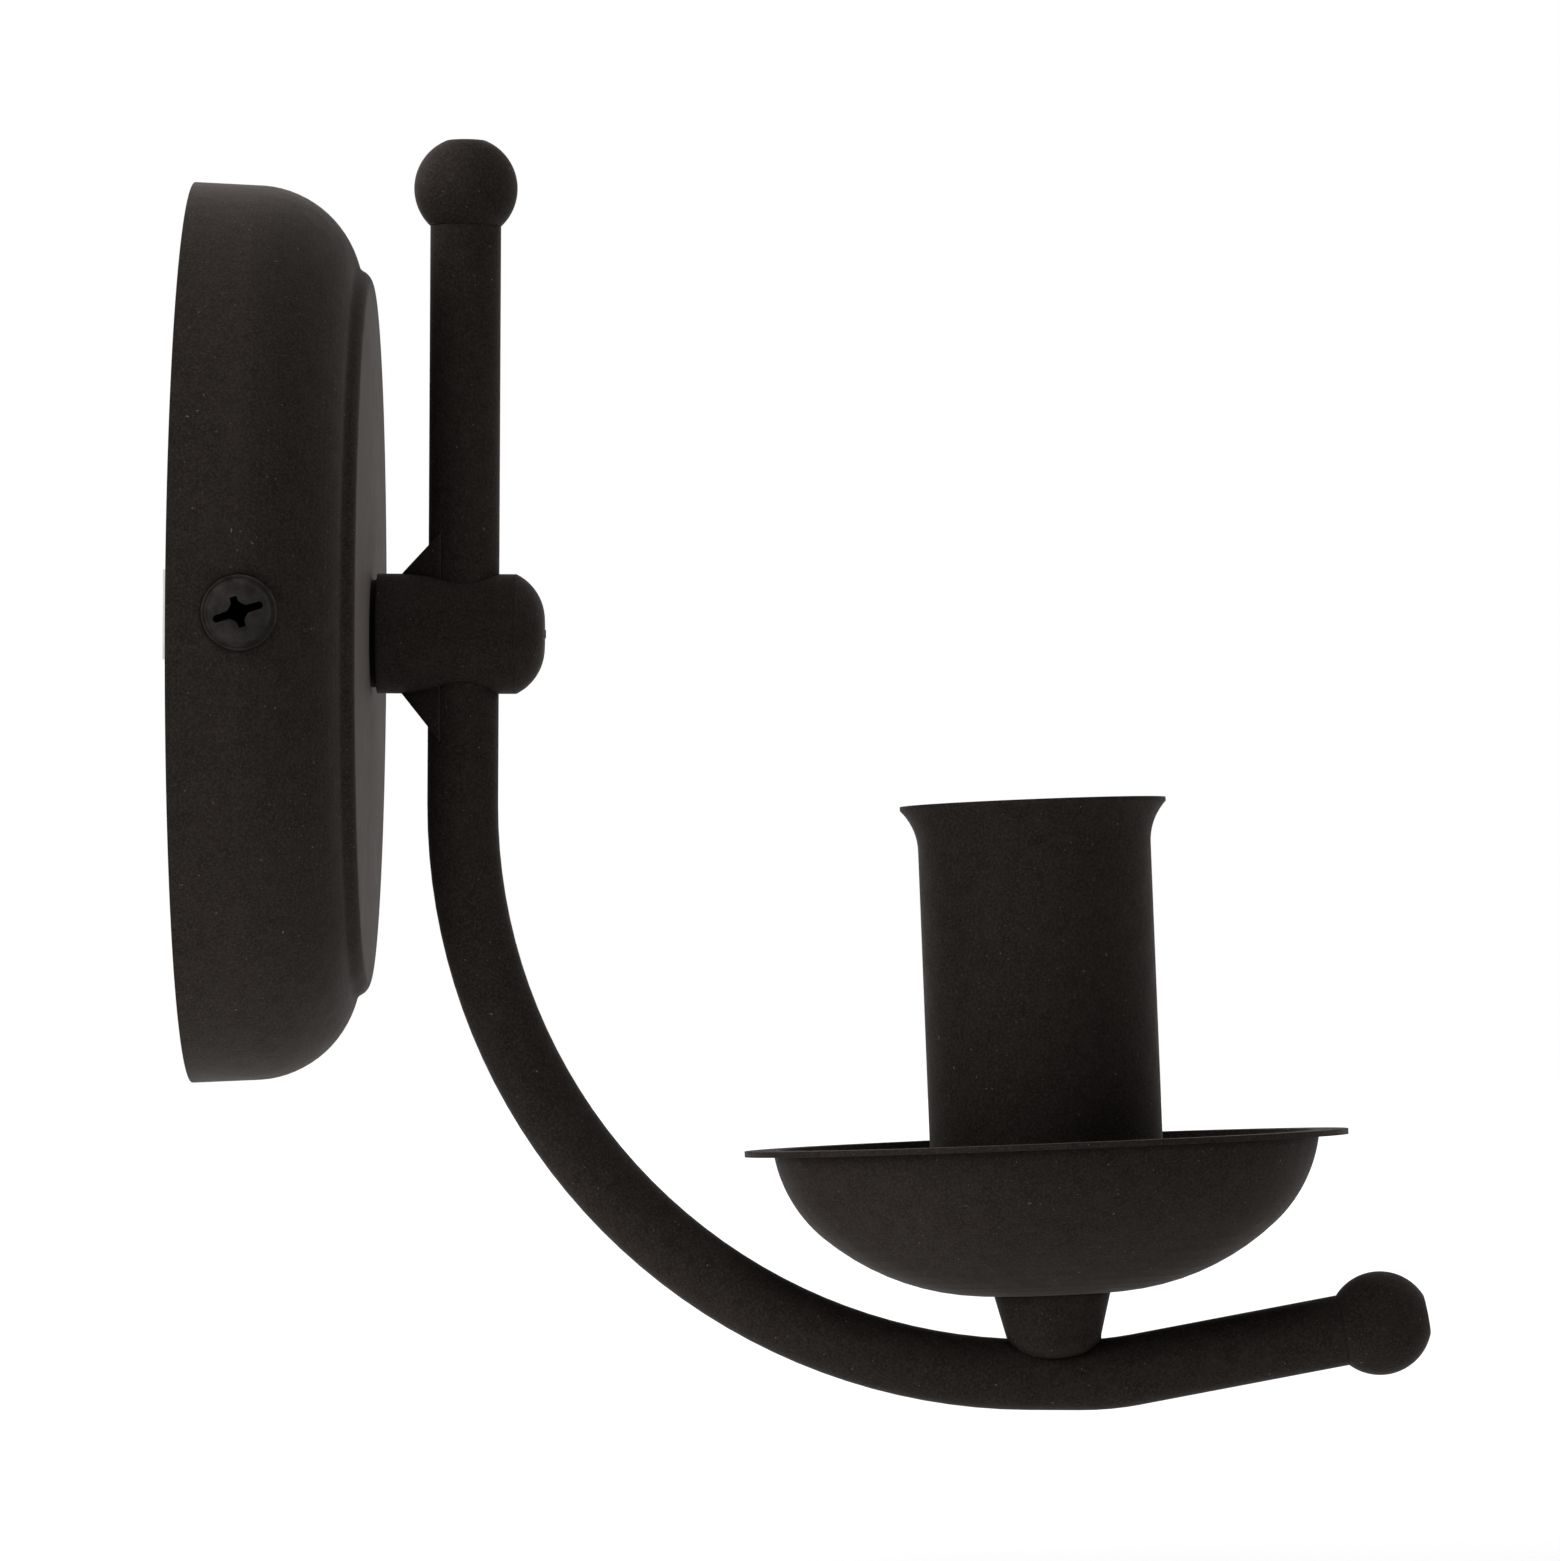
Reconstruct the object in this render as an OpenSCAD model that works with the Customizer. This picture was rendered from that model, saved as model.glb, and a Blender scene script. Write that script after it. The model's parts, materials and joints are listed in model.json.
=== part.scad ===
// Torch wall light: a round wall cup, a hub, a bent tube arm with two ball ends,
// and a drip pan with a candle sleeve over a small screw-in lamp holder.
// Millimetres. X points out of the wall, Z points up, and Y runs along the wall.
// The origin is on the wall, midway between the two wall screws.

/* [Wall cover] */
// Outside radius of the cup at its rim
cover_r = 63.4; // [62:0.2:68]
// Depth of the cup from its rim to its flat front
cover_depth = 24.8; // [24:0.2:28]
// Sheet thickness of the cup
cover_sheet = 1; // [0.8:0.1:1.3]
// How far the side draws in between the rim and the shoulder
cover_draft = 0.4; // [0.2:0.1:1]
// Radius of the rounded shoulder
shoulder_r = 14.8; // [13.6:0.2:15.6]
// Distance from the outside of the rim to the raised front disc
disc_inset = 14.4; // [13:0.2:16]
// Height of the front disc above the top of the shoulder
disc_rise = 1.5; // [1.2:0.1:2.2]
// Radius of the rounded edge of the front disc
disc_edge_r = 2.2; // [1.8:0.1:2.6]
// Radius of the hollow between the front disc and the shoulder
groove_r = 1.5; // [1:0.1:2.2]
// Gap between the wall and the rim of the cup
rim_gap = 0.7; // [0.2:0.1:1.5]

/* [Side screws] */
// Distance of the side screws from the wall
side_screw_x = 10.6; // [10:0.2:12]
// Thread diameter of the side screws
side_screw_d = 4; // [3:0.5:4]
// Diameter of the collar under the head
collar_d = 10.2; // [9.4:0.2:10.6]
// Thickness of the collar
collar_t = 0.8; // [0.6:0.1:1.2]
// Diameter of the domed head
head_d = 8.8; // [8:0.2:9.2]
// Height of the domed head above the collar
head_h = 1.9; // [1.5:0.1:2.4]
// Length of the thread under the collar
side_screw_len = 8; // [7:0.5:12]
// Turn of the screwdriver slot
slot_turn = 18; // [0:1:90]

/* [Wall bracket] */
// Thickness of the bracket plate
bracket_t = 1.5; // [1.2:0.1:2]
// Width of the bracket across its middle
bracket_w = 20; // [18:0.5:22]
// Width of the bracket at its turned-up tabs
tab_w = 12; // [11:0.5:13]
// Height of the tabs from the wall
tab_top = 14.8; // [14:0.2:15.6]
// Gap between the tabs and the inside of the cup
tab_gap = 0.3; // [0.2:0.05:0.6]
// Outside radius of the bends
bracket_bend_r = 3; // [2.5:0.1:4]
// Distance between the middles of the wall slots
slot_spacing = 60; // [56:1:68]
// Length of a wall slot
slot_len = 12; // [9:0.5:14]
// Width of a wall slot
slot_w = 4.5; // [4:0.1:5.5]
// Diameter of the hole for the supply cable
cable_hole_d = 12; // [10:0.5:13]
// Distance of the earth screw from the middle
earth_y = 15; // [13:0.5:16]
// Thread diameter of the earth screw
earth_d = 4; // [3:0.5:4]

/* [Hub and cap] */
// Diameter of the hub
hub_d = 16.9; // [15.5:0.1:18]
// Distance from the cup's flat front to the middle of the rod
rod_out = 13; // [12.6:0.1:16]
// Length of the hub beyond the middle of the rod
hub_front = 7.1; // [6.8:0.1:9]
// Length of the thinner neck between cup and hub
neck_len = 0.8; // [0.5:0.1:1.5]
// Diameter of the neck
neck_d = 15.2; // [12.4:0.2:15.4]
// Height of the web above the hub
web_up = 3.8; // [3:0.1:4.6]
// Height of the web below the hub
web_down = 4.6; // [4:0.1:5.5]
// Length of the webs from the back of the rod
web_len = 3.7; // [3:0.1:4.6]
// Radius of the webs' rounded back edge
web_edge_r = 1.4; // [0.8:0.1:2]
// Length of the straight side of the cap
cap_side = 0.3; // [0.2:0.1:0.8]
// Length of the cap
cap_len = 4.3; // [4:0.1:5]
// Diameter of the flat on the nose of the cap
cap_flat_d = 4; // [3:0.2:5]
// Diameter of the threaded stud of the cap
cap_stud_d = 6; // [5:0.5:6.5]

/* [Pipe thread fittings] */
// Outside diameter of the threaded pipes
pipe_d = 10; // [9.6:0.1:10.4]
// Bore of the threaded pipes
pipe_bore = 7; // [6.6:0.1:7.4]
// Length of pipe inside the hub
hub_pipe_in = 6.5; // [5:0.1:7]
// Length of pipe behind the cup's flat front
hub_pipe_back = 11; // [10:0.1:12]
// Width across the flats of the lock nuts
nut_af = 14; // [13:0.5:15]
// Thickness of the lock nuts
nut_t = 3.5; // [3:0.1:4]
// Diameter of the lock washers
washer_d = 18; // [16:0.5:19]
// Thickness of the lock washers
washer_t = 0.9; // [0.7:0.1:1.2]
// Thickness of the earth tag
tag_t = 0.8; // [0.6:0.1:1]
// Reach of the earth tag from the middle of the pipe
tag_reach = 13; // [12.4:0.1:13.4]

/* [Arm] */
// Diameter of the arm tube
tube_d = 10; // [9.6:0.1:10.6]
// Bore of the arm tube
tube_bore = 8; // [7.6:0.1:8.2]
// Height of the rod above the middle of the hub
rod_up = 57.5; // [40:0.5:80]
// Straight length of the rod below the middle of the hub
rod_down = 23.9; // [20:0.1:40]
// Radius of the large bend, along the middle of the tube
arc_r = 80; // [70:1:95]
// Straight length between the two bends
flat_len = 7.3; // [5:0.1:15]
// Radius of the small bend
rise_r = 40; // [30:1:60]
// Angle by which the tip rises
rise_angle = 11; // [4:0.2:16]
// Straight length of the tip
tip_len = 29.7; // [20:0.1:40]

/* [Ball ends] */
// Radius of the ball ends
ball_r = 7.3; // [6.9:0.05:8]
// Height of the middle of a ball above the end of its tube
ball_seat = 5.4; // [4.8:0.1:5.8]
// Height of the flat on a ball above its middle
ball_flat = 6.75; // [6:0.05:6.8]
// Length of the peg in the tube
peg_len = 8; // [5:0.5:12]

/* [Lamp cup] */
// Distance of the lamp from the end of the large bend
lamp_out = 3.8; // [3.4:0.1:4.2]
// Lean of the lamp towards the wall
lamp_lean = 2.5; // [0:0.1:4]
// Radius of the flat top of the coupler under the pan
coupler_r = 8.2; // [7.8:0.05:8.6]
// Radius of the coupler above its rounded bottom
coupler_low_r = 6.7; // [6.5:0.1:7.2]
// Radius of the coupler's rounded bottom edge
coupler_edge_r = 3.2; // [2:0.1:4]
// Height of the coupler's bottom above the middle of the tube
coupler_low = 2.3; // [2:0.1:2.8]
// Height of the coupler
coupler_h = 9.05; // [8.6:0.05:9.6]

/* [Drip pan] */
// Outside radius of the pan's rim
pan_rim_r = 42.5; // [41:0.5:48]
// Width of the flat rim
pan_rim_w = 3.9; // [3:0.1:5]
// Depth of the pan
pan_depth = 21.7; // [19:0.1:23]
// Sheet thickness of the pan
pan_sheet = 0.8; // [0.6:0.1:1.1]
// Radius of the flat seat in the middle of the pan
pan_seat_r = 8; // [7.4:0.1:9]
// Radius of the bottom of the bowl
bowl_r = 36; // [33:0.5:40]
// Radius of the side of the bowl
bowl_side_r = 20; // [18:0.5:22]

/* [Candle sleeve] */
// Outside diameter of the sleeve
sleeve_d = 32.8; // [31:0.2:36]
// Length of the sleeve
sleeve_len = 67.4; // [64:0.2:75]
// Sheet thickness of the sleeve
sleeve_sheet = 0.8; // [0.6:0.1:1]
// Height of the flared mouth
flare_h = 6.3; // [5:0.1:6.4]
// Radius of the flare
flare_r = 8.2; // [8:0.1:9.5]
// How far the edge of the mouth stands out from the sleeve
lip_out = 2.35; // [2:0.05:2.6]

/* [Lamp holder] */
// Outside diameter of the holder
holder_d = 28; // [27:0.2:28.4]
// Height of the holder's foot above the middle of the tube
holder_foot = 24; // [23:0.2:26]
// Length of pipe in the holder's foot
foot_pipe = 7; // [5.5:0.1:7]
// Diameter of the holder's neck
foot_neck_d = 15; // [14:0.2:18]
// Height of the holder's lower part up to its seam
base_h = 14; // [13.4:0.2:15]
// Height of the holder's outer sleeve above the seam
skirt_h = 35; // [34:0.2:38]
// Wall of the holder's outer sleeve
skirt_t = 1.5; // [1.2:0.1:1.7]
// Diameter of the round opening on top of the holder
mouth_d = 16.4; // [15.4:0.1:17]
// Height of the threaded rim that joins the two parts
rim_h = 4; // [3.5:0.1:5]
// Thickness of the insert's flange
insert_flange_t = 6; // [5:0.1:7]
// Thickness of the insert's floor above the flange
insert_floor_t = 3; // [2.5:0.1:3.5]
// Diameter of the insert's tower
tower_d = 18.4; // [17.8:0.1:19]
// Inside diameter of the lamp thread
lamp_thread_d = 14.1; // [13.8:0.1:14.3]
// Length of the lamp thread
lamp_thread_len = 12.5; // [11:0.1:13.5]
// Sheet thickness of the screw shell
shell_sheet = 0.4; // [0.3:0.05:0.5]
// Height of the narrower bottom of the screw shell
shell_step_h = 3; // [2.6:0.1:3.6]
// Distance of the terminals from the lamp's axis
terminal_y = 5; // [4.6:0.1:5.2]

/* [Sprung contact] */
// Diameter of the contact pin
contact_d = 4; // [3.6:0.1:4.2]
// Diameter of the pin's flange
contact_flange_d = 5.6; // [5.2:0.1:5.8]
// Height of the pin above the insert's floor
contact_up = 2.6; // [2.2:0.1:3]
// Travel of the contact
contact_travel = 1.5; // [1:0.1:2]
// Wire diameter of the spring
spring_wire_d = 0.5; // [0.4:0.05:0.6]
// Number of turns of the spring
spring_turns = 5; // [4:1:6]

/* [Terminal block] */
// Distance between the poles of the block
pole_pitch = 9; // [8.8:0.1:10]
// Height of the block along the wall
block_h = 17; // [16:0.5:19]
// Depth of the block from the bracket
block_d = 12.5; // [12:0.5:14]
// Distance from the middle of the bracket to the block's lower side
block_z = 18.5; // [17.5:0.5:22]
// Outside diameter of the brass clamps
clamp_d = 4.8; // [4.4:0.1:5]
// Length of the clamps' screws
clamp_screw_len = 3.6; // [3:0.1:4]

/* [Wires] */
// Diameter of a wire
wire_d = 2; // [1.6:0.1:2.1]
// Distance between the two lamp wires
wire_pitch = 2.2; // [2.2:0.05:2.4]
// Distance of the wires from the wall where they rise to the block
wire_x = 8; // [7.6:0.1:8.4]

/* [Clearances] */
// Clearance between pieces that are fixed to each other
seat_gap = 0.05; // [0.02:0.01:0.1]
// Clearance of a screw in a plain hole
hole_gap = 0.2; // [0.1:0.05:0.3]
// Clearance of the contact in its guide
guide_gap = 0.2; // [0.1:0.05:0.3]

/* [Hidden] */
$fn = 96;
// Overshoot of a cut past the face that it leaves
over = 1;
// The tip starts this far inside the small bend, and is this much thinner
lap = 0.5;
hair = 0.01;
// Depth of a screwdriver slot, its width and its length on a side screw
slot_depth = 1.4;
driver_w = 1;
driver_len = 7.4;
cross_len = 4.4;
// Edge break on small turned pieces
edge = 0.3;
// Pip that turning leaves on the nose of the cap and of the balls
pip_r = 0.6;
pip_h = 0.15;

// Places along X
face_x = rim_gap + cover_depth;
shoulder_x = face_x - disc_rise - shoulder_r;
rod_x = face_x + rod_out;
inner_face_x = face_x - cover_sheet;
pipe_back_x = inner_face_x - hub_pipe_back;
washer_x = inner_face_x - seat_gap - washer_t;
tag_x = washer_x - seat_gap - tag_t;
nut_x = tag_x - seat_gap - nut_t;
hub_back_x = face_x + seat_gap;
hub_end_x = rod_x + hub_front;
web_x = rod_x - tube_d / 2 - web_len;

// Radii of the cup
shoulder_mid_r = cover_r - cover_draft - shoulder_r;
disc_r = cover_r - disc_inset;
// Outside of the nearly straight side at a distance x from the wall
function side_r(x) = cover_r - cover_draft * (x - rim_gap) / (shoulder_x - rim_gap);
// Inside of the rounded shoulder at a distance x from the wall
function shoulder_inside(x) =
    shoulder_mid_r + sqrt(pow(shoulder_r - cover_sheet, 2) - pow(x - shoulder_x, 2));
screw_seat = side_r(side_screw_x - collar_d / 2) + seat_gap;
tab_y = sqrt(pow(shoulder_inside(tab_top), 2) - pow(tab_w / 2, 2)) - tab_gap;

// The arm
arc_x = rod_x + arc_r;
low_z = -rod_down - arc_r;
rise_x = arc_x + flat_len;
lamp_x = arc_x + lamp_out;

// Heights along the lamp's axis, above the middle of the tube
tube_top = tube_d / 2;
seat_s = coupler_low + coupler_h;
pan_rim_s = seat_s + pan_depth;
pan_floor_s = seat_s + pan_sheet;
pan_washer_s = pan_floor_s + seat_gap;
pan_nut_s = pan_washer_s + washer_t + seat_gap;
pipe_low_s = tube_top + seat_gap;
pipe_high_s = holder_foot + foot_pipe;
bowl_mid_s = seat_s + bowl_r;
bowl_in_r = pan_rim_r - pan_rim_w;
base_top_s = holder_foot + base_h;
rim_top_s = base_top_s + rim_h;
insert_s = rim_top_s + seat_gap;
flange_top_s = insert_s + insert_flange_t;
floor_s = flange_top_s + insert_floor_t;
skirt_top_s = base_top_s + skirt_h;
shell_s = floor_s + seat_gap;
shell_step_s = shell_s + shell_step_h + shell_sheet;
shell_top_s = shell_step_s + lamp_thread_len;
lip_s = skirt_top_s - skirt_t;
contact_top_s = floor_s + contact_up;
terminal_h = 5;
wire_hole_h = 4;
terminal_s = insert_s - seat_gap - terminal_h;
strip_t = 0.6;
rivet_r = 0.8;
// Where the sleeve stands in the bowl
sleeve_r = sleeve_d / 2;
sleeve_s = pan_floor_s + bowl_r - pan_sheet + seat_gap
    - sqrt(pow(bowl_r - pan_sheet, 2) - pow(sleeve_r - pan_seat_r, 2));
sleeve_top_s = sleeve_s + sleeve_len;

// The sprung contact
well_r = contact_flange_d / 2 + guide_gap;
well_neck_h = 1.5;
contact_flange_t = 1.7;
contact_flange_s = floor_s - well_neck_h - seat_gap - contact_flange_t;
spring_low_s = insert_s + seat_gap;
spring_high_s = contact_flange_s - seat_gap;
spring_mid_r = well_r - guide_gap - spring_wire_d / 2;

// The terminal block
block_x = bracket_t + seat_gap;
block_front = block_x + block_d;
block_w = 3 * pole_pitch;
block_mid_z = block_z + block_h / 2;
block_screw_y = pole_pitch / 2;
clamp_screw_dz = 4;
clamp_bore_r = wire_d / 2 + 0.3;
clamp_len = block_h - 3;
// Small machine screws: thread and head radius, head height, and the slot's width and depth
small_screw_r = 1.3;
small_head_r = 2.1;
small_head_h = 1.6;
small_slot_w = 0.6;
small_slot_depth = 0.8;
// Recess of the block's fixing screws
recess_depth = 3;
recess_r = small_head_r + hole_gap;

// The wires
wire_r = wire_d / 2;
block_turn_r = pipe_back_x - wire_x - 1;
rod_turn_r = 3;
// Length of wire inside the terminal block
clamp_grip = 5;
lamp_turn_r = lamp_out / tan((90 + lamp_lean) / 2);
bush_t = 1;

// ---------- Helpers ----------

// Turns a shape that stands on Z so that it points along X from x
module along_x(x) {
    translate([x, 0, 0]) rotate([0, 90, 0]) children();
}

// Places a shape on the lamp's axis, with its height counted along that axis
module on_lamp(s = 0) {
    translate([lamp_x, 0, low_z]) rotate([0, -lamp_lean, 0]) translate([0, 0, s]) children();
}

// Repeats a shape on both sides of the middle
module both_sides() {
    children();
    mirror([0, 1, 0]) children();
}

// Plain ring standing on Z
module ring(outer_r, inner_r, height) {
    difference() {
        cylinder(r = outer_r, h = height);
        translate([0, 0, -over]) cylinder(r = inner_r, h = height + 2 * over);
    }
}

// Hexagon nut standing on Z
module hex_nut(across, bore, height) {
    difference() {
        cylinder(d = across / cos(30), h = height, $fn = 6);
        translate([0, 0, -over]) cylinder(d = bore, h = height + 2 * over);
    }
}

// Toothed lock washer standing on Z
module lock_washer(bore_r) {
    teeth = 12;
    difference() {
        cylinder(d = washer_d, h = washer_t);
        translate([0, 0, -over]) cylinder(r = bore_r, h = washer_t + 2 * over);
        for (i = [0 : teeth - 1])
            rotate(i * 360 / teeth)
                translate([washer_d / 2, 0, -over])
                    cylinder(r = 1, h = washer_t + 2 * over);
    }
}

// Part of a ring of round bar in the XZ plane, from angle a over a turn
module bend_xz(middle, bend, a, turn, bar_r) {
    translate(middle) rotate([90, 0, 0]) rotate(a)
        rotate_extrude(angle = turn) translate([bend, 0]) circle(r = bar_r);
}

// Points on an arc in the plane, from one angle to another
function arc_outline(middle, r, from, to, steps) = [
    for (i = [0 : steps])
        let (angle = from + (to - from) * i / steps)
        middle + r * [cos(angle), sin(angle)]
];

// A list in the opposite order
function reversed(list) = [for (i = [len(list) - 1 : -1 : 0]) list[i]];

// Points on part of a circle in a plane of constant Y, from angle a over a turn
function arc_points(middle, bend, a, turn, steps) = [
    for (i = [0 : steps])
        let (angle = a + turn * i / steps)
        middle + bend * [cos(angle), 0, sin(angle)]
];

// Height along the lamp's axis and distance beside it, as a point in the row's frame
function lamp_point(y, s) =
    [lamp_x - s * sin(lamp_lean), y, low_z + s * cos(lamp_lean)];

// Share of a smooth sideways step that is done at a share t of its length
function eased(t) = (1 - cos(180 * t)) / 2;

// Round bar along a line of points that never runs along Y
module bar_along(points, bar_r) {
    sides = 8;
    count = len(points);
    rings = [
        for (i = [0 : count - 1])
            let (
                ahead = points[min(i + 1, count - 1)] - points[max(i - 1, 0)],
                across = cross(ahead, [0, 1, 0]) / norm(cross(ahead, [0, 1, 0])),
                beside = cross(across, ahead) / norm(ahead)
            )
            for (k = [0 : sides - 1])
                let (angle = k * 360 / sides)
                points[i] + bar_r * (cos(angle) * across + sin(angle) * beside)
    ];
    walls = [
        for (i = [0 : count - 2], k = [0 : sides - 1])
            let (n = (k + 1) % sides, a = i * sides, b = a + sides)
            each [[a + k, a + n, b + k], [a + n, b + n, b + k]]
    ];
    last = (count - 1) * sides;
    caps = [
        for (k = [1 : sides - 2])
            each [[0, k + 1, k], [last, last + k, last + k + 1]]
    ];
    polyhedron(rings, concat(walls, caps));
}

// The run of the arm tube as a solid bar of the given radius
module arm_run(bar_r, extra = 0) {
    translate([rod_x, 0, -rod_down]) cylinder(r = bar_r, h = rod_down + rod_up + extra);
    bend_xz([arc_x, 0, -rod_down], arc_r, 180, 90, bar_r);
    translate([arc_x, 0, low_z]) rotate([0, 90, 0]) cylinder(r = bar_r, h = flat_len);
    bend_xz([rise_x, 0, low_z + rise_r], rise_r, 270, rise_angle, bar_r);
    on_tip() translate([0, 0, -lap]) cylinder(r = bar_r - hair, h = tip_len + extra + lap);
}

// Start of the straight tip, with Z along it
module on_tip() {
    translate([rise_x + rise_r * sin(rise_angle), 0, low_z + rise_r * (1 - cos(rise_angle))])
        rotate([0, 90 - rise_angle, 0]) children();
}

// ---------- Wall bracket ----------

// Side outline of the bracket in the XY plane, one half
module bracket_half_outline() {
    bend_y = tab_y - bracket_bend_r;
    square([bracket_t, bend_y]);
    translate([bracket_bend_r, bend_y]) intersection() {
        difference() {
            circle(r = bracket_bend_r);
            circle(r = bracket_bend_r - bracket_t);
        }
        translate([-bracket_bend_r, 0]) square(bracket_bend_r);
    }
    translate([bracket_bend_r, tab_y - bracket_t])
        square([tab_top - bracket_bend_r, bracket_t]);
}

// Front outline of the bracket in the YZ plane
module bracket_plan() {
    taper_y = slot_spacing / 2 + slot_len / 2 + 4;
    square([2 * taper_y, bracket_w], center = true);
    square([2 * (tab_y + over), tab_w], center = true);
    translate([-block_w / 2, 0]) square([block_w, block_z + block_h + 1]);
    for (side = [-1, 1])
        translate([side * taper_y, 0]) circle(d = bracket_w);
}

// Slot along Y through the bracket
module wall_slot() {
    half = (slot_len - slot_w) / 2;
    for (y = [-half, half])
        translate([-over, y, 0]) rotate([0, 90, 0]) cylinder(d = slot_w, h = 4 * over);
    translate([-over, -half, -slot_w / 2]) cube([4 * over, 2 * half, slot_w]);
}

module wall_bracket() color("lightsteelblue") difference() {
    intersection() {
        linear_extrude(height = 4 * block_z + 2 * block_h, center = true) {
            bracket_half_outline();
            mirror([0, 1]) bracket_half_outline();
        }
        rotate([90, 0, 90]) linear_extrude(height = 4 * tab_top, center = true) bracket_plan();
        tab_corners();
    }
    for (side = [-1, 1]) translate([0, side * slot_spacing / 2, 0]) wall_slot();
    translate([-over, 0, 0]) rotate([0, 90, 0]) cylinder(d = cable_hole_d, h = 4 * over);
    translate([-over, earth_y, 0]) rotate([0, 90, 0]) cylinder(d = earth_d, h = 4 * over);
    for (side = [-1, 1])
        translate([-over, side * block_screw_y, block_mid_z])
            rotate([0, 90, 0]) cylinder(r = small_screw_r + seat_gap, h = 4 * over);
    translate([side_screw_x, 0, 0]) rotate([90, 0, 0])
        cylinder(d = side_screw_d + 2 * seat_gap, h = 2 * cover_r, center = true);
}

// Keeps the tabs' free corners round, seen along Y
module tab_corners() {
    corner = 2.5;
    tall = block_z + block_h + bracket_w;
    rotate([90, 0, 0]) linear_extrude(height = 2 * cover_r, center = true) {
        translate([-over, -tall]) square([over + bracket_bend_r, 2 * tall]);
        translate([0, -tab_w / 2]) square([tab_top - corner, tab_w]);
        translate([0, corner - tab_w / 2]) square([tab_top, tab_w - 2 * corner]);
        for (side = [-1, 1])
            translate([tab_top - corner, side * (tab_w / 2 - corner)]) circle(r = corner);
    }
}

module bracket_earth_screw() color("goldenrod") {
    collar_x = bracket_t + seat_gap;
    collar_h = 1;
    cap_h = 2;
    top_x = collar_x + collar_h + cap_h;
    translate([0, earth_y, 0]) difference() {
        union() {
            along_x(seat_gap) cylinder(r = earth_d / 2 - seat_gap, h = bracket_t + collar_h);
            along_x(collar_x) cylinder(r = earth_d, h = collar_h);
            along_x(collar_x + collar_h) cylinder(r = earth_d * 0.9, h = cap_h);
        }
        translate([top_x - cap_h / 2, -earth_d, -driver_w / 2])
            cube([cap_h, 2 * earth_d, driver_w]);
    }
}

// ---------- Wall cover ----------

// Middle of the circle that lies at ra from a and at rb from b, on the outer side
function touching_middle(a, ra, b, rb) =
    let (
        d = norm(b - a),
        along = (ra * ra - rb * rb + d * d) / (2 * d),
        aside = sqrt(ra * ra - along * along),
        unit = (b - a) / d
    )
    a + along * unit + aside * [-unit[1], unit[0]];

// Half section of the cup's skin, drawn in by the given thickness: x is the radius, y the depth.
// It runs up the side, over the shoulder, through the hollow and over the disc's rounded edge.
function cup_outline(inset) =
    let (
        bead = [disc_r, face_x - disc_edge_r],
        shoulder = [shoulder_mid_r, shoulder_x],
        hollow = touching_middle(bead, disc_edge_r + groove_r, shoulder, shoulder_r + groove_r),
        from_shoulder = hollow - shoulder,
        from_bead = hollow - bead,
        shoulder_end = atan2(from_shoulder[1], from_shoulder[0]),
        bead_start = atan2(from_bead[1], from_bead[0])
    )
    concat(
        [[cover_r - inset, rim_gap]],
        arc_outline(shoulder, shoulder_r - inset, 0, shoulder_end, 16),
        arc_outline(hollow, groove_r + inset, shoulder_end + 180, bead_start + 180, 6),
        arc_outline(bead, disc_edge_r - inset, bead_start, 90, 8),
        [[0, face_x - inset]]
    );

module wall_cover() color("#231f1d") difference() {
    rotate([0, 90, 0]) rotate_extrude()
        polygon(concat(cup_outline(0), reversed(cup_outline(cover_sheet))));
    along_x(inner_face_x - over) cylinder(d = pipe_d + 2 * hole_gap, h = cover_sheet + 2 * over);
    translate([side_screw_x, 0, 0]) rotate([90, 0, 0])
        cylinder(d = side_screw_d + 2 * hole_gap, h = 3 * cover_r, center = true);
}

// One side screw, on the near side
module side_screw() {
    dome_r = (pow(head_d / 2, 2) + pow(head_h, 2)) / (2 * head_h);
    dome_mid = [0, collar_t + head_h - dome_r];
    translate([side_screw_x, -screw_seat, 0]) rotate([90, 0, 0]) difference() {
        rotate_extrude() polygon(concat(
            [[0, -side_screw_len], [side_screw_d / 2, -side_screw_len]],
            [[side_screw_d / 2, 0], [collar_d / 2, 0], [collar_d / 2, collar_t]],
            arc_outline(dome_mid, dome_r, asin((collar_t - dome_mid[1]) / dome_r), 90, 8)
        ));
        rotate(slot_turn) translate([0, 0, collar_t + head_h - slot_depth / 2]) {
            cube([driver_len, driver_w, slot_depth + over], center = true);
            cube([driver_w * 1.5, cross_len, slot_depth + over], center = true);
        }
    }
}

module cover_screws() color("#2a2624") both_sides() side_screw();

// ---------- Terminal block ----------

module terminal_block() color("ivory") difference() {
    translate([block_x, -block_w / 2, block_z]) cube([block_d, block_w, block_h]);
    for (pole = [-1 : 1]) translate([wire_x, pole * pole_pitch, 0]) {
        translate([0, 0, block_z - over])
            cylinder(d = clamp_d + 2 * seat_gap, h = block_h + 2 * over);
        for (side = [-1, 1])
            translate([0, 0, block_mid_z + side * clamp_screw_dz])
                rotate([0, 90, 0]) cylinder(r = small_screw_r + hole_gap, h = block_d);
    }
    for (side = [-1, 1]) translate([0, side * block_screw_y, block_mid_z]) {
        along_x(0) cylinder(r = small_screw_r + hole_gap, h = block_front + over);
        along_x(block_front - recess_depth) cylinder(r = recess_r, h = recess_depth + over);
    }
    // Notches that part the poles
    notch_w = 1;
    notch_h = 2.5;
    for (side = [-1, 1], z = [block_z, block_z + block_h])
        translate([block_x + notch_h, side * block_screw_y - notch_w / 2, z - notch_h])
            cube([block_d, notch_w, 2 * notch_h]);
}

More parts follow.
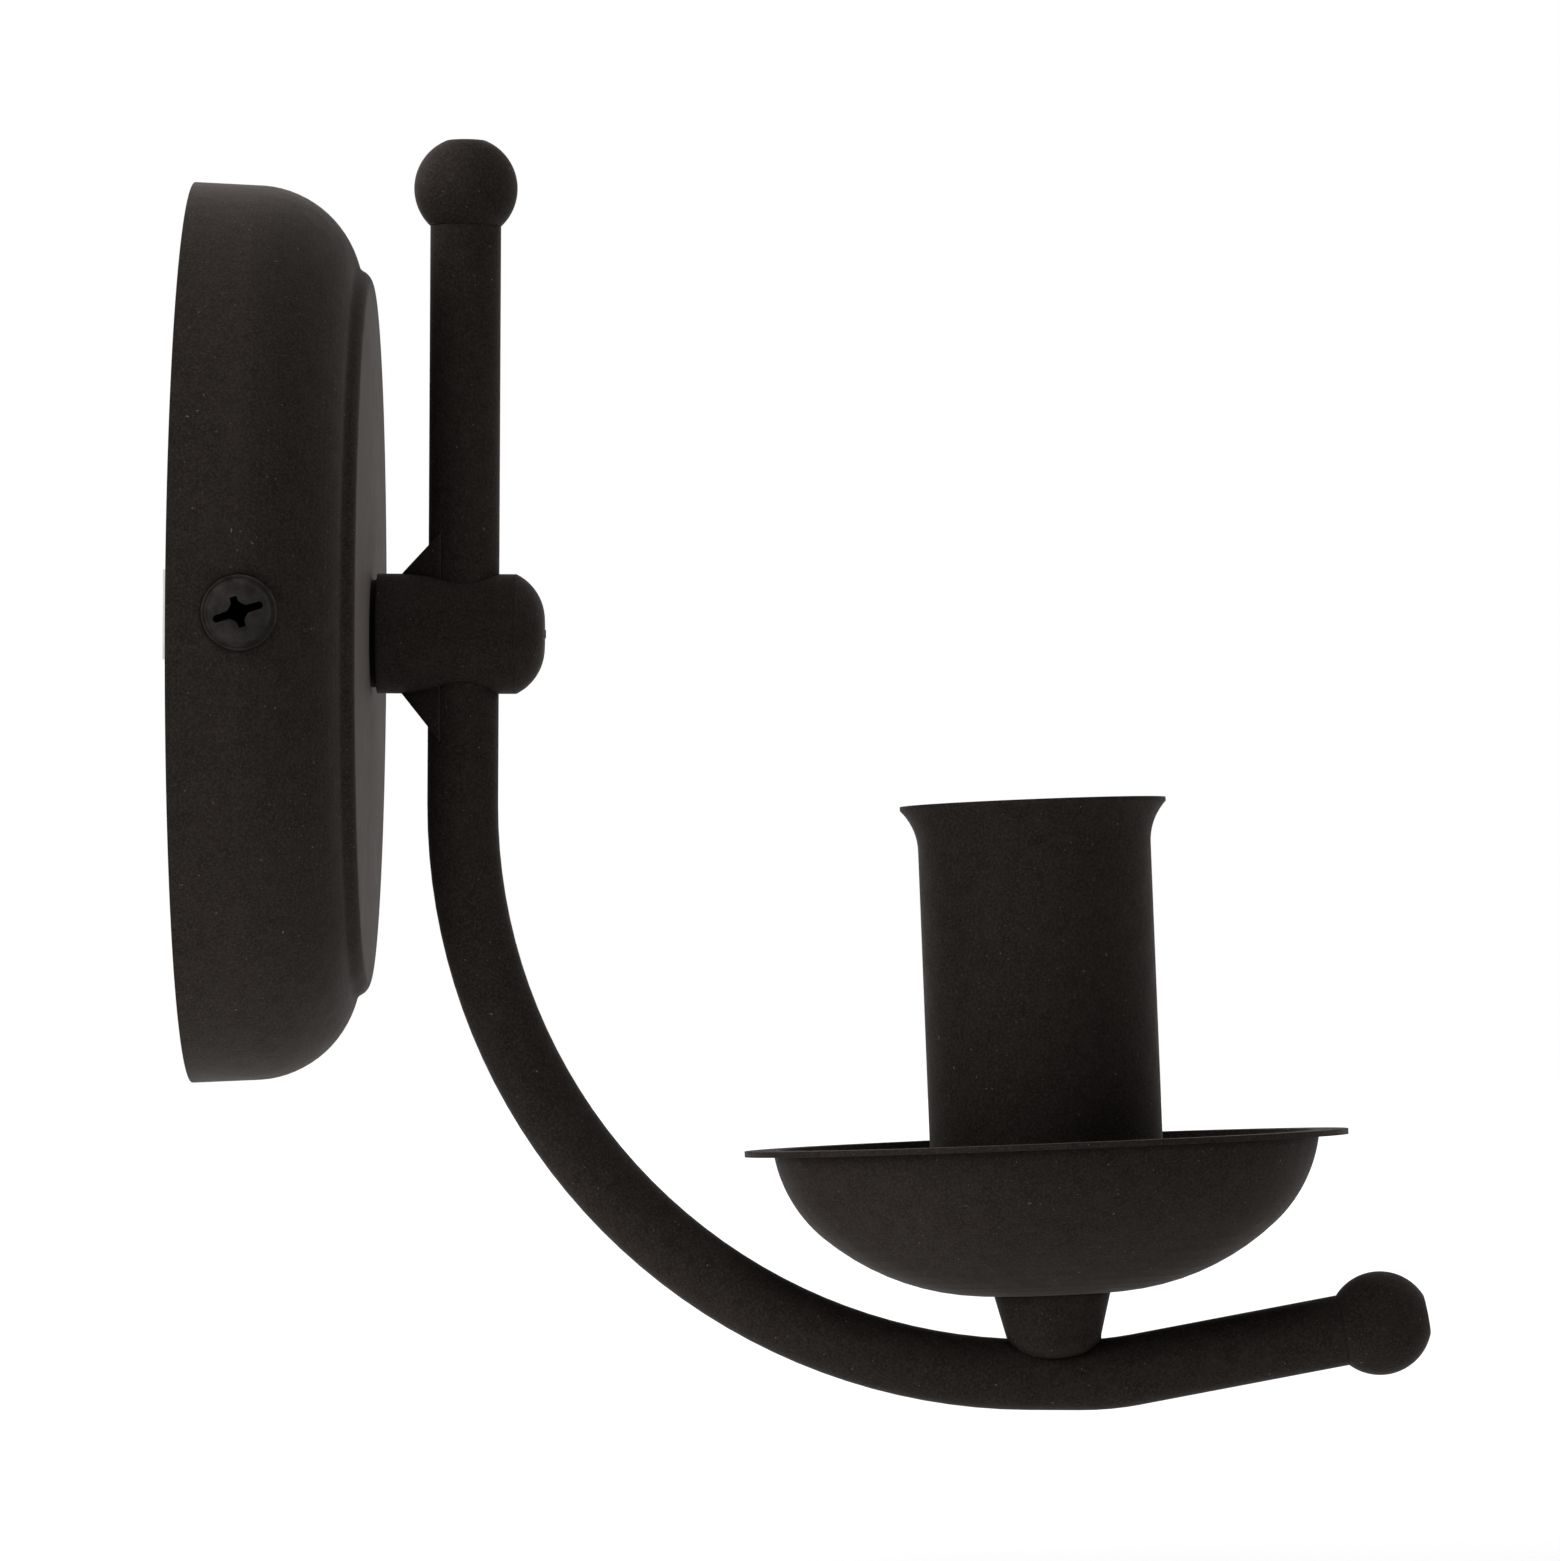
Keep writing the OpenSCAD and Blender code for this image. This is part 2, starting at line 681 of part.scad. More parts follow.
module block_clamps() color("gold")
    for (pole = [-1 : 1]) translate([wire_x, pole * pole_pitch, block_mid_z]) difference() {
        cylinder(d = clamp_d, h = clamp_len, center = true);
        cylinder(r = clamp_bore_r, h = clamp_len + over, center = true);
        for (side = [-1, 1])
            translate([0, 0, side * clamp_screw_dz])
                rotate([0, 90, 0]) cylinder(r = small_screw_r + seat_gap, h = clamp_d);
    }

// Screwdriver slot across a small screw that points along X and ends at x
module small_slot(x) {
    translate([x - small_slot_depth, -small_head_r - over, -small_slot_w / 2])
        cube([small_slot_depth + over, 2 * (small_head_r + over), small_slot_w]);
}

module clamp_screws() color("silver")
    for (pole = [-1 : 1], side = [-1, 1])
        translate([wire_x, pole * pole_pitch, block_mid_z + side * clamp_screw_dz])
            difference() {
                along_x(wire_r + seat_gap) cylinder(r = small_screw_r, h = clamp_screw_len);
                small_slot(wire_r + seat_gap + clamp_screw_len);
            }

module block_screws() color("silver")
    for (side = [-1, 1]) translate([0, side * block_screw_y, block_mid_z]) difference() {
        union() {
            along_x(seat_gap) cylinder(r = small_screw_r, h = block_front - recess_depth);
            along_x(block_front - recess_depth + seat_gap)
                cylinder(r = small_head_r, h = small_head_h);
        }
        small_slot(block_front - recess_depth + seat_gap + small_head_h);
    }

// ---------- Hub ----------

module hub() color("#231f1d") difference() {
    union() {
        along_x(hub_back_x) cylinder(d = neck_d, h = neck_len + over);
        along_x(hub_back_x + neck_len) cylinder(d = hub_d, h = hub_end_x - hub_back_x - neck_len);
        intersection() {
            linear_extrude(height = 4 * hub_d, center = true) web_section();
            rotate([90, 0, 0]) linear_extrude(height = hub_d, center = true) {
                web_outline(web_up);
                mirror([0, 1]) web_outline(web_down);
            }
        }
    }
    translate([rod_x, 0, 0]) cylinder(d = tube_d + 2 * seat_gap, h = 4 * hub_d, center = true);
    along_x(face_x - over) cylinder(d = pipe_d + 2 * seat_gap, h = over + hub_pipe_in);
    along_x(face_x) cylinder(d = pipe_bore, h = rod_out);
    along_x(rod_x) cylinder(d = cap_stud_d + 2 * seat_gap, h = hub_front + over);
}

// Slanted web between the top of the hub and the back of the rod, seen along Y
module web_outline(height) {
    hub_r = hub_d / 2;
    slope = height / web_len;
    polygon([
        [web_x, 0], [web_x, hub_r],
        [rod_x, hub_r + slope * (rod_x - web_x)], [rod_x, 0]
    ]);
}

// Section of the webs, seen along Z: their sides touch the rod and draw in to a rounded edge
module web_section() {
    edge_mid = web_x + web_edge_r;
    touch = acos((tube_d / 2 - web_edge_r) / (rod_x - edge_mid));
    polygon(concat(
        arc_outline([edge_mid, 0], web_edge_r, 180 - touch, 180 + touch, 8),
        arc_outline([rod_x, 0], tube_d / 2, 180 + touch, 180 - touch, 8)
    ));
}

module hub_pipe() color("silver")
    along_x(pipe_back_x)
        ring(pipe_d / 2, pipe_bore / 2, hub_pipe_back + cover_sheet + hub_pipe_in - seat_gap);

module hub_lock_nut() color("silver")
    along_x(nut_x) hex_nut(nut_af, pipe_d + 2 * seat_gap, nut_t);

module hub_lock_washer() color("silver")
    along_x(washer_x) lock_washer(pipe_d / 2 + seat_gap);

// Ring under the lock nut, with a tail that is turned back to hold the earth wire
module earth_tag() color("silver") difference() {
    ring_w = 3;
    tail_w = 4;
    barrel_r = wire_r + 0.5;
    barrel_len = nut_t + 2;
    union() {
        along_x(tag_x) cylinder(r = pipe_d / 2 + ring_w, h = tag_t);
        translate([tag_x, -tail_w / 2, 0]) cube([tag_t, tail_w, tag_reach]);
        translate([tag_x + tag_t, 0, tag_reach]) rotate([0, -90, 0])
            cylinder(r = barrel_r, h = barrel_len + tag_t);
    }
    along_x(tag_x - over) cylinder(r = pipe_d / 2 + seat_gap, h = tag_t + 2 * over);
    translate([tag_x - seat_gap, 0, tag_reach]) rotate([0, -90, 0])
        cylinder(r = wire_r + 2 * hair, h = barrel_len + over);
}

// Plastic bush that guards the wires at the open end of the pipe
module wire_bush() color("white") along_x(pipe_back_x - bush_t - seat_gap) {
    bush_bore = wire_pitch / 2 + wire_r + 0.4;
    neck = 5;
    ring(pipe_d / 2, bush_bore, bush_t);
    ring(pipe_bore / 2 - seat_gap, bush_bore, bush_t + neck);
}

module hub_cap() color("#231f1d") {
    // The rounded side is an arc that meets the straight side and runs level into the flat nose
    flat_r = cap_flat_d / 2;
    dome_w = hub_d / 2 - flat_r;
    dome_h = cap_len - cap_side;
    dome_r = (dome_w * dome_w + dome_h * dome_h) / (2 * dome_h);
    along_x(hub_end_x + seat_gap) rotate_extrude() polygon(concat(
        [[0, 0], [hub_d / 2, 0]],
        arc_outline([flat_r, cap_len - dome_r], dome_r, acos(dome_w / dome_r), 90, 12),
        [[pip_r, cap_len], [pip_r, cap_len + pip_h], [0, cap_len + pip_h]]
    ));
    along_x(rod_x + tube_d / 2 + seat_gap)
        cylinder(d = cap_stud_d, h = hub_front - tube_d / 2 + over);
}

// ---------- Arm ----------

module arm_tube() color("#231f1d") difference() {
    arm_run(tube_d / 2);
    arm_run(tube_bore / 2, over);
    // Wire hole towards the wall, and wire hole up into the lamp
    along_x(rod_x - tube_d) cylinder(d = pipe_bore - 1, h = tube_d);
    on_lamp() cylinder(d = pipe_bore, h = tube_d);
}

// Ball with flats, and a peg that fills the end of the tube
module ball_end() {
    intersection() {
        translate([0, 0, ball_seat]) sphere(r = ball_r);
        translate([0, 0, seat_gap]) cylinder(r = ball_r, h = ball_seat + ball_flat - seat_gap);
    }
    cylinder(r = pip_r, h = ball_seat + ball_flat + pip_h);
    translate([0, 0, -peg_len]) cylinder(r = tube_bore / 2 - seat_gap, h = peg_len + over);
}

module top_ball() color("#231f1d") translate([rod_x, 0, rod_up]) ball_end();

module tip_ball() color("#231f1d") on_tip() translate([0, 0, tip_len]) ball_end();

// Round coupler with a rounded bottom edge that sits astride the arm and carries the pan
module cup_coupler() color("#231f1d") difference() {
    on_lamp() rotate_extrude() polygon(concat(
        [[0, coupler_low]],
        arc_outline(
            [coupler_low_r - coupler_edge_r, coupler_low + coupler_edge_r],
            coupler_edge_r, -90, 0, 8
        ),
        [[coupler_r, seat_s], [0, seat_s]]
    ));
    arm_run(tube_d / 2 + seat_gap);
    // Wire hole above the tube, and the seat of the pipe
    on_lamp() cylinder(d = pipe_bore, h = seat_s);
    on_lamp(tube_top) cylinder(d = pipe_d + 2 * seat_gap, h = seat_s - tube_top + over);
}

module lamp_pipe() color("silver")
    on_lamp(pipe_low_s) ring(pipe_d / 2, pipe_bore / 2, pipe_high_s - pipe_low_s);

// ---------- Drip pan ----------

// Half section of the bowl's skin from its seat to its rim, drawn in by the given thickness
function bowl_outline(inset, top_s) =
    let (
        side_mid_r = bowl_in_r - bowl_side_r,
        span = bowl_r - bowl_side_r,
        drop = sqrt(span * span - pow(side_mid_r - pan_seat_r, 2)),
        side_mid = [side_mid_r, bowl_mid_s - drop],
        join = atan2(-drop, side_mid_r - pan_seat_r),
        rim = -asin((side_mid[1] - top_s) / (bowl_side_r - inset))
    )
    concat(
        [[pipe_d / 2 + hole_gap, seat_s + inset]],
        arc_outline([pan_seat_r, bowl_mid_s], bowl_r - inset, -90, join, 10),
        arc_outline(side_mid, bowl_side_r - inset, join, rim, 14)
    );

module drip_pan() color("#231f1d") on_lamp() rotate_extrude() polygon(concat(
    bowl_outline(0, pan_rim_s - pan_sheet),
    [[pan_rim_r, pan_rim_s - pan_sheet], [pan_rim_r, pan_rim_s]],
    reversed(bowl_outline(pan_sheet, pan_rim_s))
));

module pan_lock_washer() color("silver") on_lamp(pan_washer_s) lock_washer(pipe_d / 2 + seat_gap);

module pan_lock_nut() color("silver")
    on_lamp(pan_nut_s) hex_nut(nut_af, pipe_d + 2 * seat_gap, nut_t);

// ---------- Candle sleeve ----------

module candle_sleeve() color("#231f1d") on_lamp() rotate_extrude() {
    flare_s = sleeve_top_s - flare_h;
    // Middle of the flare's curve, outside the sleeve
    flare_mid = [sleeve_r + flare_r, flare_s];
    translate([sleeve_r - sleeve_sheet, sleeve_s]) square([sleeve_sheet, flare_s - sleeve_s]);
    intersection() {
        translate(flare_mid) difference() {
            circle(r = flare_r + sleeve_sheet);
            circle(r = flare_r);
        }
        translate([sleeve_r - sleeve_sheet, flare_s]) square([sleeve_sheet + lip_out, flare_h]);
    }
}

// ---------- Lamp holder ----------

module holder_base() color("#1b1b1d") on_lamp() rotate_extrude() {
    outer = holder_d / 2;
    male_r = outer - skirt_t - 2 * seat_gap;
    wall = 1.8;
    band_h = 4;
    cavity_r = male_r - wall;
    slope = outer - foot_neck_d / 2;
    polygon([
        [pipe_d / 2 + seat_gap, holder_foot], [foot_neck_d / 2, holder_foot],
        [foot_neck_d / 2, base_top_s - band_h - slope], [outer, base_top_s - band_h],
        [outer, base_top_s], [male_r, base_top_s], [male_r, rim_top_s],
        [cavity_r, rim_top_s], [cavity_r, pipe_high_s + cavity_r - pipe_d / 2 - wall],
        [pipe_d / 2 + seat_gap, pipe_high_s + seat_gap]
    ]);
}

module holder_skirt() color("#1b1b1d") on_lamp() rotate_extrude() {
    outer = holder_d / 2;
    inner = outer - skirt_t;
    polygon([
        [inner, base_top_s + seat_gap], [outer, base_top_s + seat_gap],
        [outer, skirt_top_s - edge], [outer - edge, skirt_top_s],
        [mouth_d / 2 + edge, skirt_top_s], [mouth_d / 2, skirt_top_s - edge],
        [mouth_d / 2, lip_s], [inner, lip_s]
    ]);
}

module holder_insert() color("#d9d4c8") on_lamp() difference() {
    union() {
        translate([0, 0, insert_s])
            cylinder(r = holder_d / 2 - skirt_t - hole_gap, h = insert_flange_t);
        translate([0, 0, insert_s])
            cylinder(d = tower_d, h = lip_s - seat_gap - insert_s);
    }
    translate([0, 0, floor_s])
        cylinder(r = lamp_thread_d / 2 + shell_sheet + seat_gap, h = skirt_h);
    // Well of the spring, its narrow neck and the hole of the shell's rivet
    translate([0, 0, insert_s - over])
        cylinder(r = well_r, h = floor_s - well_neck_h - insert_s + over);
    translate([0, 0, insert_s]) cylinder(d = contact_d + 2 * guide_gap, h = skirt_h);
    translate([0, terminal_y, insert_s - over]) cylinder(r = rivet_r + seat_gap, h = skirt_h);
}

module screw_shell() color("gold") on_lamp() difference() {
    thread_r = lamp_thread_d / 2;
    cup_r = thread_r - 0.6;
    hole_r = contact_d / 2 + 1.2;
    rotate_extrude() polygon([
        [hole_r, shell_s], [cup_r, shell_s], [cup_r, shell_step_s - shell_sheet],
        [thread_r + shell_sheet, shell_step_s - shell_sheet],
        [thread_r + shell_sheet, shell_top_s], [thread_r, shell_top_s],
        [thread_r, shell_step_s], [cup_r - shell_sheet, shell_step_s],
        [cup_r - shell_sheet, shell_s + shell_sheet], [hole_r, shell_s + shell_sheet]
    ]);
    translate([0, terminal_y, shell_s - over]) cylinder(r = rivet_r + seat_gap, h = 2 * over);
}

module contact_pin() color("gold") on_lamp() {
    nose = 1;
    translate([0, 0, contact_flange_s]) cylinder(d = contact_flange_d, h = contact_flange_t);
    translate([0, 0, contact_flange_s])
        cylinder(d = contact_d, h = contact_top_s - nose - contact_flange_s);
    translate([0, 0, contact_top_s - nose])
        cylinder(d1 = contact_d, d2 = contact_d - 2 * nose, h = nose);
}

// Coil of round wire on the well's axis, closed at both ends by its own wire
module contact_spring() color("silver") on_lamp() {
    sides = 6;
    steps = 10;
    wire = spring_wire_d / 2;
    count = spring_turns * steps;
    low = spring_low_s + wire;
    pitch = (spring_high_s - wire - low) / spring_turns;
    points = [
        for (i = [0 : count], k = [0 : sides - 1])
            let (
                turn = i * 360 / steps,
                around = k * 360 / sides,
                reach = spring_mid_r + wire * cos(around)
            )
            [reach * cos(turn), reach * sin(turn), low + pitch * i / steps + wire * sin(around)]
    ];
    walls = [
        for (i = [0 : count - 1], k = [0 : sides - 1])
            let (n = (k + 1) % sides, a = i * sides, b = a + sides)
            each [[a + k, b + k, a + n], [a + n, b + k, b + n]]
    ];
    caps = [
        for (k = [1 : sides - 2])
            each [[0, k, k + 1], [count * sides, count * sides + k + 1, count * sides + k]]
    ];
    polyhedron(points, concat(walls, caps));
}

// Brass block that clamps a wire under the insert, on the near side
module lamp_terminal() {
    wide = 6;
    deep = 4.4;
    difference() {
        translate([-wide / 2, -terminal_y - deep / 2, terminal_s]) cube([wide, deep, terminal_h]);
        translate([0, -terminal_y, terminal_s - over])
            cylinder(r = wire_r + 2 * seat_gap, h = wire_hole_h + over);
        translate([0, -terminal_y, terminal_s + wire_hole_h / 2])
            rotate([90, 0, 0]) cylinder(r = small_screw_r + seat_gap, h = deep);
    }
}

module contact_terminal() color("gold") on_lamp() {
    lamp_terminal();
    // Strip under the spring
    strip_w = contact_d;
    translate([-strip_w / 2, -terminal_y, insert_s - seat_gap - strip_t])
        cube([strip_w, terminal_y + strip_w / 2, strip_t]);
}

module shell_terminal() color("gold") on_lamp() {
    mirror([0, 1, 0]) lamp_terminal();
    // Rivet up to the floor of the screw shell
    rivet_s = terminal_s + terminal_h - lap;
    head_s = shell_s + shell_sheet + seat_gap;
    translate([0, terminal_y, rivet_s]) cylinder(r = rivet_r, h = head_s + seat_gap - rivet_s);
    translate([0, terminal_y, head_s]) cylinder(r = 1.5 * rivet_r, h = rivet_r / 2);
}

module holder_screws() color("silver") on_lamp() both_sides()
    translate([0, -terminal_y - wire_r - 2 * seat_gap, terminal_s + wire_hole_h / 2])
        rotate(-90) difference() {
            shank = 1.2;
            union() {
                along_x(0) cylinder(r = small_screw_r, h = shank + over / 2);
                along_x(shank) cylinder(r = small_head_r - hole_gap, h = small_head_h);
            }
            small_slot(shank + small_head_h);
        }

// ---------- Wires ----------

// One lamp wire from the block to its terminal, on the near side
module lamp_wire() {
    near = -wire_pitch / 2;
    start_x = wire_x + block_turn_r;
    steps = 8;
    bar_along(concat(
        // Out of the block and across to the pipe
        [[wire_x, -pole_pitch, block_z + clamp_grip]],
        [for (i = [0 : steps]) let (t = i / steps) [
            wire_x,
            -pole_pitch + (pole_pitch + near) * eased(t),
            block_z + (block_turn_r - block_z) * t
        ]],
        arc_points([start_x, near, block_turn_r], block_turn_r, 190, 80, steps),
        // Through the pipe and the hub, down the rod and round the arm
        arc_points([rod_x - rod_turn_r, near, -rod_turn_r], rod_turn_r, 90, -90, steps),
        arc_points([arc_x, near, -rod_down], arc_r, 180, 90, 3 * steps),
        // Up through the lamp's pipe and out to the terminal
        arc_points([arc_x, near, low_z + lamp_turn_r], lamp_turn_r, 280, 80 + lamp_lean, steps),
        [for (i = [0 : steps]) let (t = i / steps) lamp_point(
            near + (-terminal_y - near) * eased(t),
            pipe_high_s + (terminal_s - pipe_high_s) * t
        )],
        [lamp_point(-terminal_y, terminal_s + 0.9 * wire_hole_h)]
    ), wire_r);
}

module live_wire() color("saddlebrown") lamp_wire();

module neutral_wire() color("royalblue") mirror([0, 1, 0]) lamp_wire();

module earth_wire() color("yellowgreen") {
    turn_r = 3;
    bar_along(concat(
        [[wire_x, 0, block_z + clamp_grip]],
        arc_points([wire_x + turn_r, 0, tag_reach + turn_r], turn_r, 180, 90, 8),
        [[tag_x - 2 * seat_gap, 0, tag_reach]]
    ), wire_r);
}

wall_bracket();
bracket_earth_screw();
wall_cover();
cover_screws();
terminal_block();
block_clamps();
clamp_screws();
block_screws();
hub();
hub_pipe();
hub_lock_nut();
hub_lock_washer();
earth_tag();
wire_bush();
hub_cap();
arm_tube();
top_ball();
tip_ball();
cup_coupler();
lamp_pipe();
drip_pan();
pan_lock_washer();
pan_lock_nut();
candle_sleeve();
holder_base();
holder_skirt();
holder_insert();
screw_shell();
contact_pin();
contact_spring();
contact_terminal();
shell_terminal();
holder_screws();
live_wire();
neutral_wire();
earth_wire();
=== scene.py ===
"""Torch wall light: finishes, turned and threaded details, light and camera.

Metres throughout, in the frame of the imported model: X out of the wall, Z up. Colours are linear.
"""
import json
import math

import bpy
from mathutils import Matrix, Vector


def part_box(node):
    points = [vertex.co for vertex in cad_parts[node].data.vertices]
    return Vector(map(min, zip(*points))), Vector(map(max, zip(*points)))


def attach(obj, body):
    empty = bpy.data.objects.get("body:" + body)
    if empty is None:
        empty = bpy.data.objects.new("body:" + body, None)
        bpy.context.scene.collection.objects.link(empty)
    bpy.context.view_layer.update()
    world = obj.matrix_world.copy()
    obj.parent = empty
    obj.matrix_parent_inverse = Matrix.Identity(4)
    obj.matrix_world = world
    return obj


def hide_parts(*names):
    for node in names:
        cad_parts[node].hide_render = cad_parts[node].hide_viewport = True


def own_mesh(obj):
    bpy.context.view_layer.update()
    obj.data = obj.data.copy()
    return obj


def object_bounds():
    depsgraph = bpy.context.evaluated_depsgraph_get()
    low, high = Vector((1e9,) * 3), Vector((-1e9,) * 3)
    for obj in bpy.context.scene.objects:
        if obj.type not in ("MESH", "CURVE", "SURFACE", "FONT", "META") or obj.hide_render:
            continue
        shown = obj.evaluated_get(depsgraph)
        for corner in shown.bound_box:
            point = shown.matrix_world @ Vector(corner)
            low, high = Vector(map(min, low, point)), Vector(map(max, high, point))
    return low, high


MM = 0.001

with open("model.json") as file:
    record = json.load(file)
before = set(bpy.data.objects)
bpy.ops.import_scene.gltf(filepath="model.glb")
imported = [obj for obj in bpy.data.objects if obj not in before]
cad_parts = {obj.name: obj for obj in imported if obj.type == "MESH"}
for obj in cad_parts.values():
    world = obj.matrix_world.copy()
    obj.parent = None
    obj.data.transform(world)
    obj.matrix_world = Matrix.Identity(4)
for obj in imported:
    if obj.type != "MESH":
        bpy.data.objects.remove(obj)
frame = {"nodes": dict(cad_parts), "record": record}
cad_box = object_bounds()
nodes = frame["nodes"]
record = frame["record"]
mounts = {m["name"]: m for m in record["mounts"]}

# ---------- Camera, from the photograph's framing ----------
IMAGE_W, IMAGE_H = 1560, 1561
SCALE_PX_MM = 7.1
# Column of the wall face, and row of the cup's middle
WALL_PX, MIDDLE_PX = 190.03, 632.5
FOCAL_PX = 9000
SENSOR = 36
CAMERA_RISE = -33.75 * MM
CLIP_START, CLIP_END = 0.01, 50
# The photograph is turned by this much about the cup's middle
CAMERA_ROLL = math.radians(0.25)

# ---------- Threaded pipes ----------
PIPE_R = 5 * MM
PIPE_BORE_R = 3.5 * MM
PIPE_PITCH = 1.0 * MM
PIPE_THREAD_DEPTH = 0.55 * MM
PIPE_END_CHAMFER = 0.6 * MM
PIPE_SIDES, PIPE_ROWS_PER_TURN = 48, 8

# ---------- Screw shell of the socket ----------
LAMP_PITCH = 2.822 * MM
LAMP_THREAD_DEPTH = 0.8 * MM
SHELL_SHEET = 0.4 * MM
SHELL_CUP_INSET = 0.6 * MM
SHELL_CUP_DEPTH = 3.4 * MM
SHELL_HOLE_R = 3.2 * MM
SHELL_SIDES, SHELL_ROWS = 96, 72

# ---------- Contact spring ----------
SPRING_WIRE_R = 0.25 * MM
SPRING_TURNS = 5
SPRING_WIRE_SIDES, SPRING_STEPS_PER_TURN = 12, 40

# ---------- Side screws ----------
SCREW_LEN = 8 * MM
SCREW_R = 2 * MM
SCREW_PITCH = 0.7 * MM
SCREW_THREAD_DEPTH = 0.4 * MM
SCREW_CHAMFER = 0.5 * MM
SCREW_SIDES, SCREW_ROWS_PER_TURN = 64, 6
SCREW_TURN = math.radians(18)
# The collar's underside stands this far off its seat
COLLAR_SEAT = 0.05 * MM
# Height and radius along the collar's rounded edge and the groove inside it, in millimetres
COLLAR_PROFILE_MM = [
    (0, 4.9), (0.1, 5.07), (0.25, 5.1), (0.55, 5.1),
    (0.72, 5.02), (0.8, 4.86), (0.76, 4.62), (0.86, 4.44),
]
DOME_R = 4.36 * MM
DOME_LOW = 1.0 * MM
DOME_STEPS = 12
SCREW_TOP = 2.7 * MM

# ---------- Driver recess of the side screws ----------
SLOT_HALF_LEN = 3.6 * MM
SLOT_HALF_W = 0.53 * MM
SLOT_END_STEPS = 5
CROSS_HALF_LEN = 2.15 * MM
CROSS_END_SHARE = 0.9
# Corner between slot and cross: it starts at notch plus flare, its point at this share of the notch
NOTCH = 1.05 * MM
NOTCH_FLARE = 0.3 * MM
NOTCH_IN = 0.86
# Height against the head's top, and size of the outline there
RECESS_LEVELS = [(-3.2 * MM, 0.4), (-0.9 * MM, 0.96), (1 * MM, 1.02)]

# ---------- Places on the lamp's axis ----------
LAMP_AXIS = Vector(mounts["lamp_socket"]["axis"]).normalized()
SOCKET_MID = Vector(mounts["lamp_socket"]["pos_m"])
SOCKET_LEN = mounts["lamp_socket"]["dims"]["length_mm"] * MM
SOCKET_R = mounts["lamp_socket"]["dims"]["r_mm"] * MM

# ---------- Floor ----------
FLOOR_DROP = 25 * MM
FLOOR_REACH = 8
FLOOR_TONE = 0.9
FLOOR_WHITE = 1.15
# Distance from the frame's origin, and the share of plain white there; the rest takes the shadow
NEAR, NEAR_WHITE_SHARE = 0.25, 0.7
FAR, FAR_WHITE_SHARE = 0.8, 1
# Share of the white for rays that only light the object
GLOW_SHARE = 0.1

# ---------- Light ----------
# Name, place seen from the object's middle in metres, size in metres and power in watts
LAMPS = [
    ("above", (0.1, 0.0, 1.1), 0.7, 2.6),
    ("left", (-1.1, -0.3, 0.4), 0.85, 7.8),
    ("left_back", (-0.7, 0.5, 0.5), 0.8, 6.2),
    ("top_left", (-0.7, -0.3, 0.8), 0.7, 1.5),
    ("top_front", (0.0, -0.8, 0.9), 0.6, 1.3),
    ("right_back", (0.9, 0.6, 0.3), 0.6, 1.8),
]
WORLD_STRENGTH = 0.02

# ---------- Surface detail ----------
# How far a softened normal leans, as a cosine: here the painted edge highlight is full, and here it ends
EDGE_FULL, EDGE_END = 0.72, 0.86
# How open a spot is: here the painted shade of a hollow is full, and here it ends
HOLLOW_FULL, HOLLOW_END = 0.5, 0.8
EDGE_SAMPLES, HOLLOW_SAMPLES = 4, 8
# Most values of a noise lie between these
NOISE_LOW, NOISE_HIGH = 0.3, 0.7
# Marks on metal are this many times finer than its clouds
MARKS_PER_CLOUD = 9
# Faces that meet at a larger angle keep a sharp edge
SHARP_ANGLE = math.radians(32)


# ---------- Node helpers ----------


def feed(tree, value, socket):
    """Link a socket into another, or set a plain value on it."""
    if isinstance(value, bpy.types.NodeSocket):
        tree.links.new(value, socket)
    else:
        socket.default_value = value


def new_node(tree, kind, inputs=None, **settings):
    """A node with its settings, and its inputs fed by name or number."""
    node = tree.nodes.new(kind)
    for name, value in settings.items():
        setattr(node, name, value)
    for name, value in (inputs or {}).items():
        feed(tree, value, node.inputs[name])
    return node


def empty_tree(owner):
    """Node tree of a material or world, with nothing in it."""
    owner.use_nodes = True
    owner.node_tree.nodes.clear()
    return owner.node_tree


def new_material(name):
    """A material with an empty tree, and the object's coordinates."""
    material = bpy.data.materials.new(name)
    tree = empty_tree(material)
    return material, tree, new_node(tree, "ShaderNodeTexCoord").outputs["Object"]


def surface(tree, inputs):
    """The material's surface: one general shader, with its inputs fed by name."""
    shader = new_node(tree, "ShaderNodeBsdfPrincipled", inputs)
    new_node(tree, "ShaderNodeOutputMaterial", {"Surface": shader.outputs["BSDF"]})


def noise(tree, where, size, detail=3, roughness=0.5):
    """Noise whose features are about `size` metres across."""
    inputs = {"Vector": where, "Scale": 1 / size, "Detail": detail, "Roughness": roughness}
    return new_node(tree, "ShaderNodeTexNoise", inputs).outputs["Fac"]


def ramp(tree, value, low, high):
    """Colour ramp between two stops, each a place and a colour."""
    node = new_node(tree, "ShaderNodeValToRGB", {"Fac": value})
    for element, (place, colour) in zip(node.color_ramp.elements, (low, high)):
        element.position = place
        element.color = (*colour, 1)
    return node.outputs["Color"]


def grey(level):
    return (level, level, level)


def levels(tree, value, low, high, first=0, last=1):
    """Grey ramp from `first` where the value is `low` to `last` where it is `high`."""
    return ramp(tree, value, (low, grey(first)), (high, grey(last)))


def mixed(tree, share, first, second):
    """Colour mix of two sockets or colours, by a socket."""
    node = new_node(tree, "ShaderNodeMix", {"Factor": share}, data_type="RGBA")
    for value, name in ((first, "A"), (second, "B")):
        socket = [s for s in node.inputs if s.name == name and s.type == "RGBA"][0]
        feed(tree, (*value, 1) if isinstance(value, tuple) else value, socket)
    return [s for s in node.outputs if s.type == "RGBA"][0]


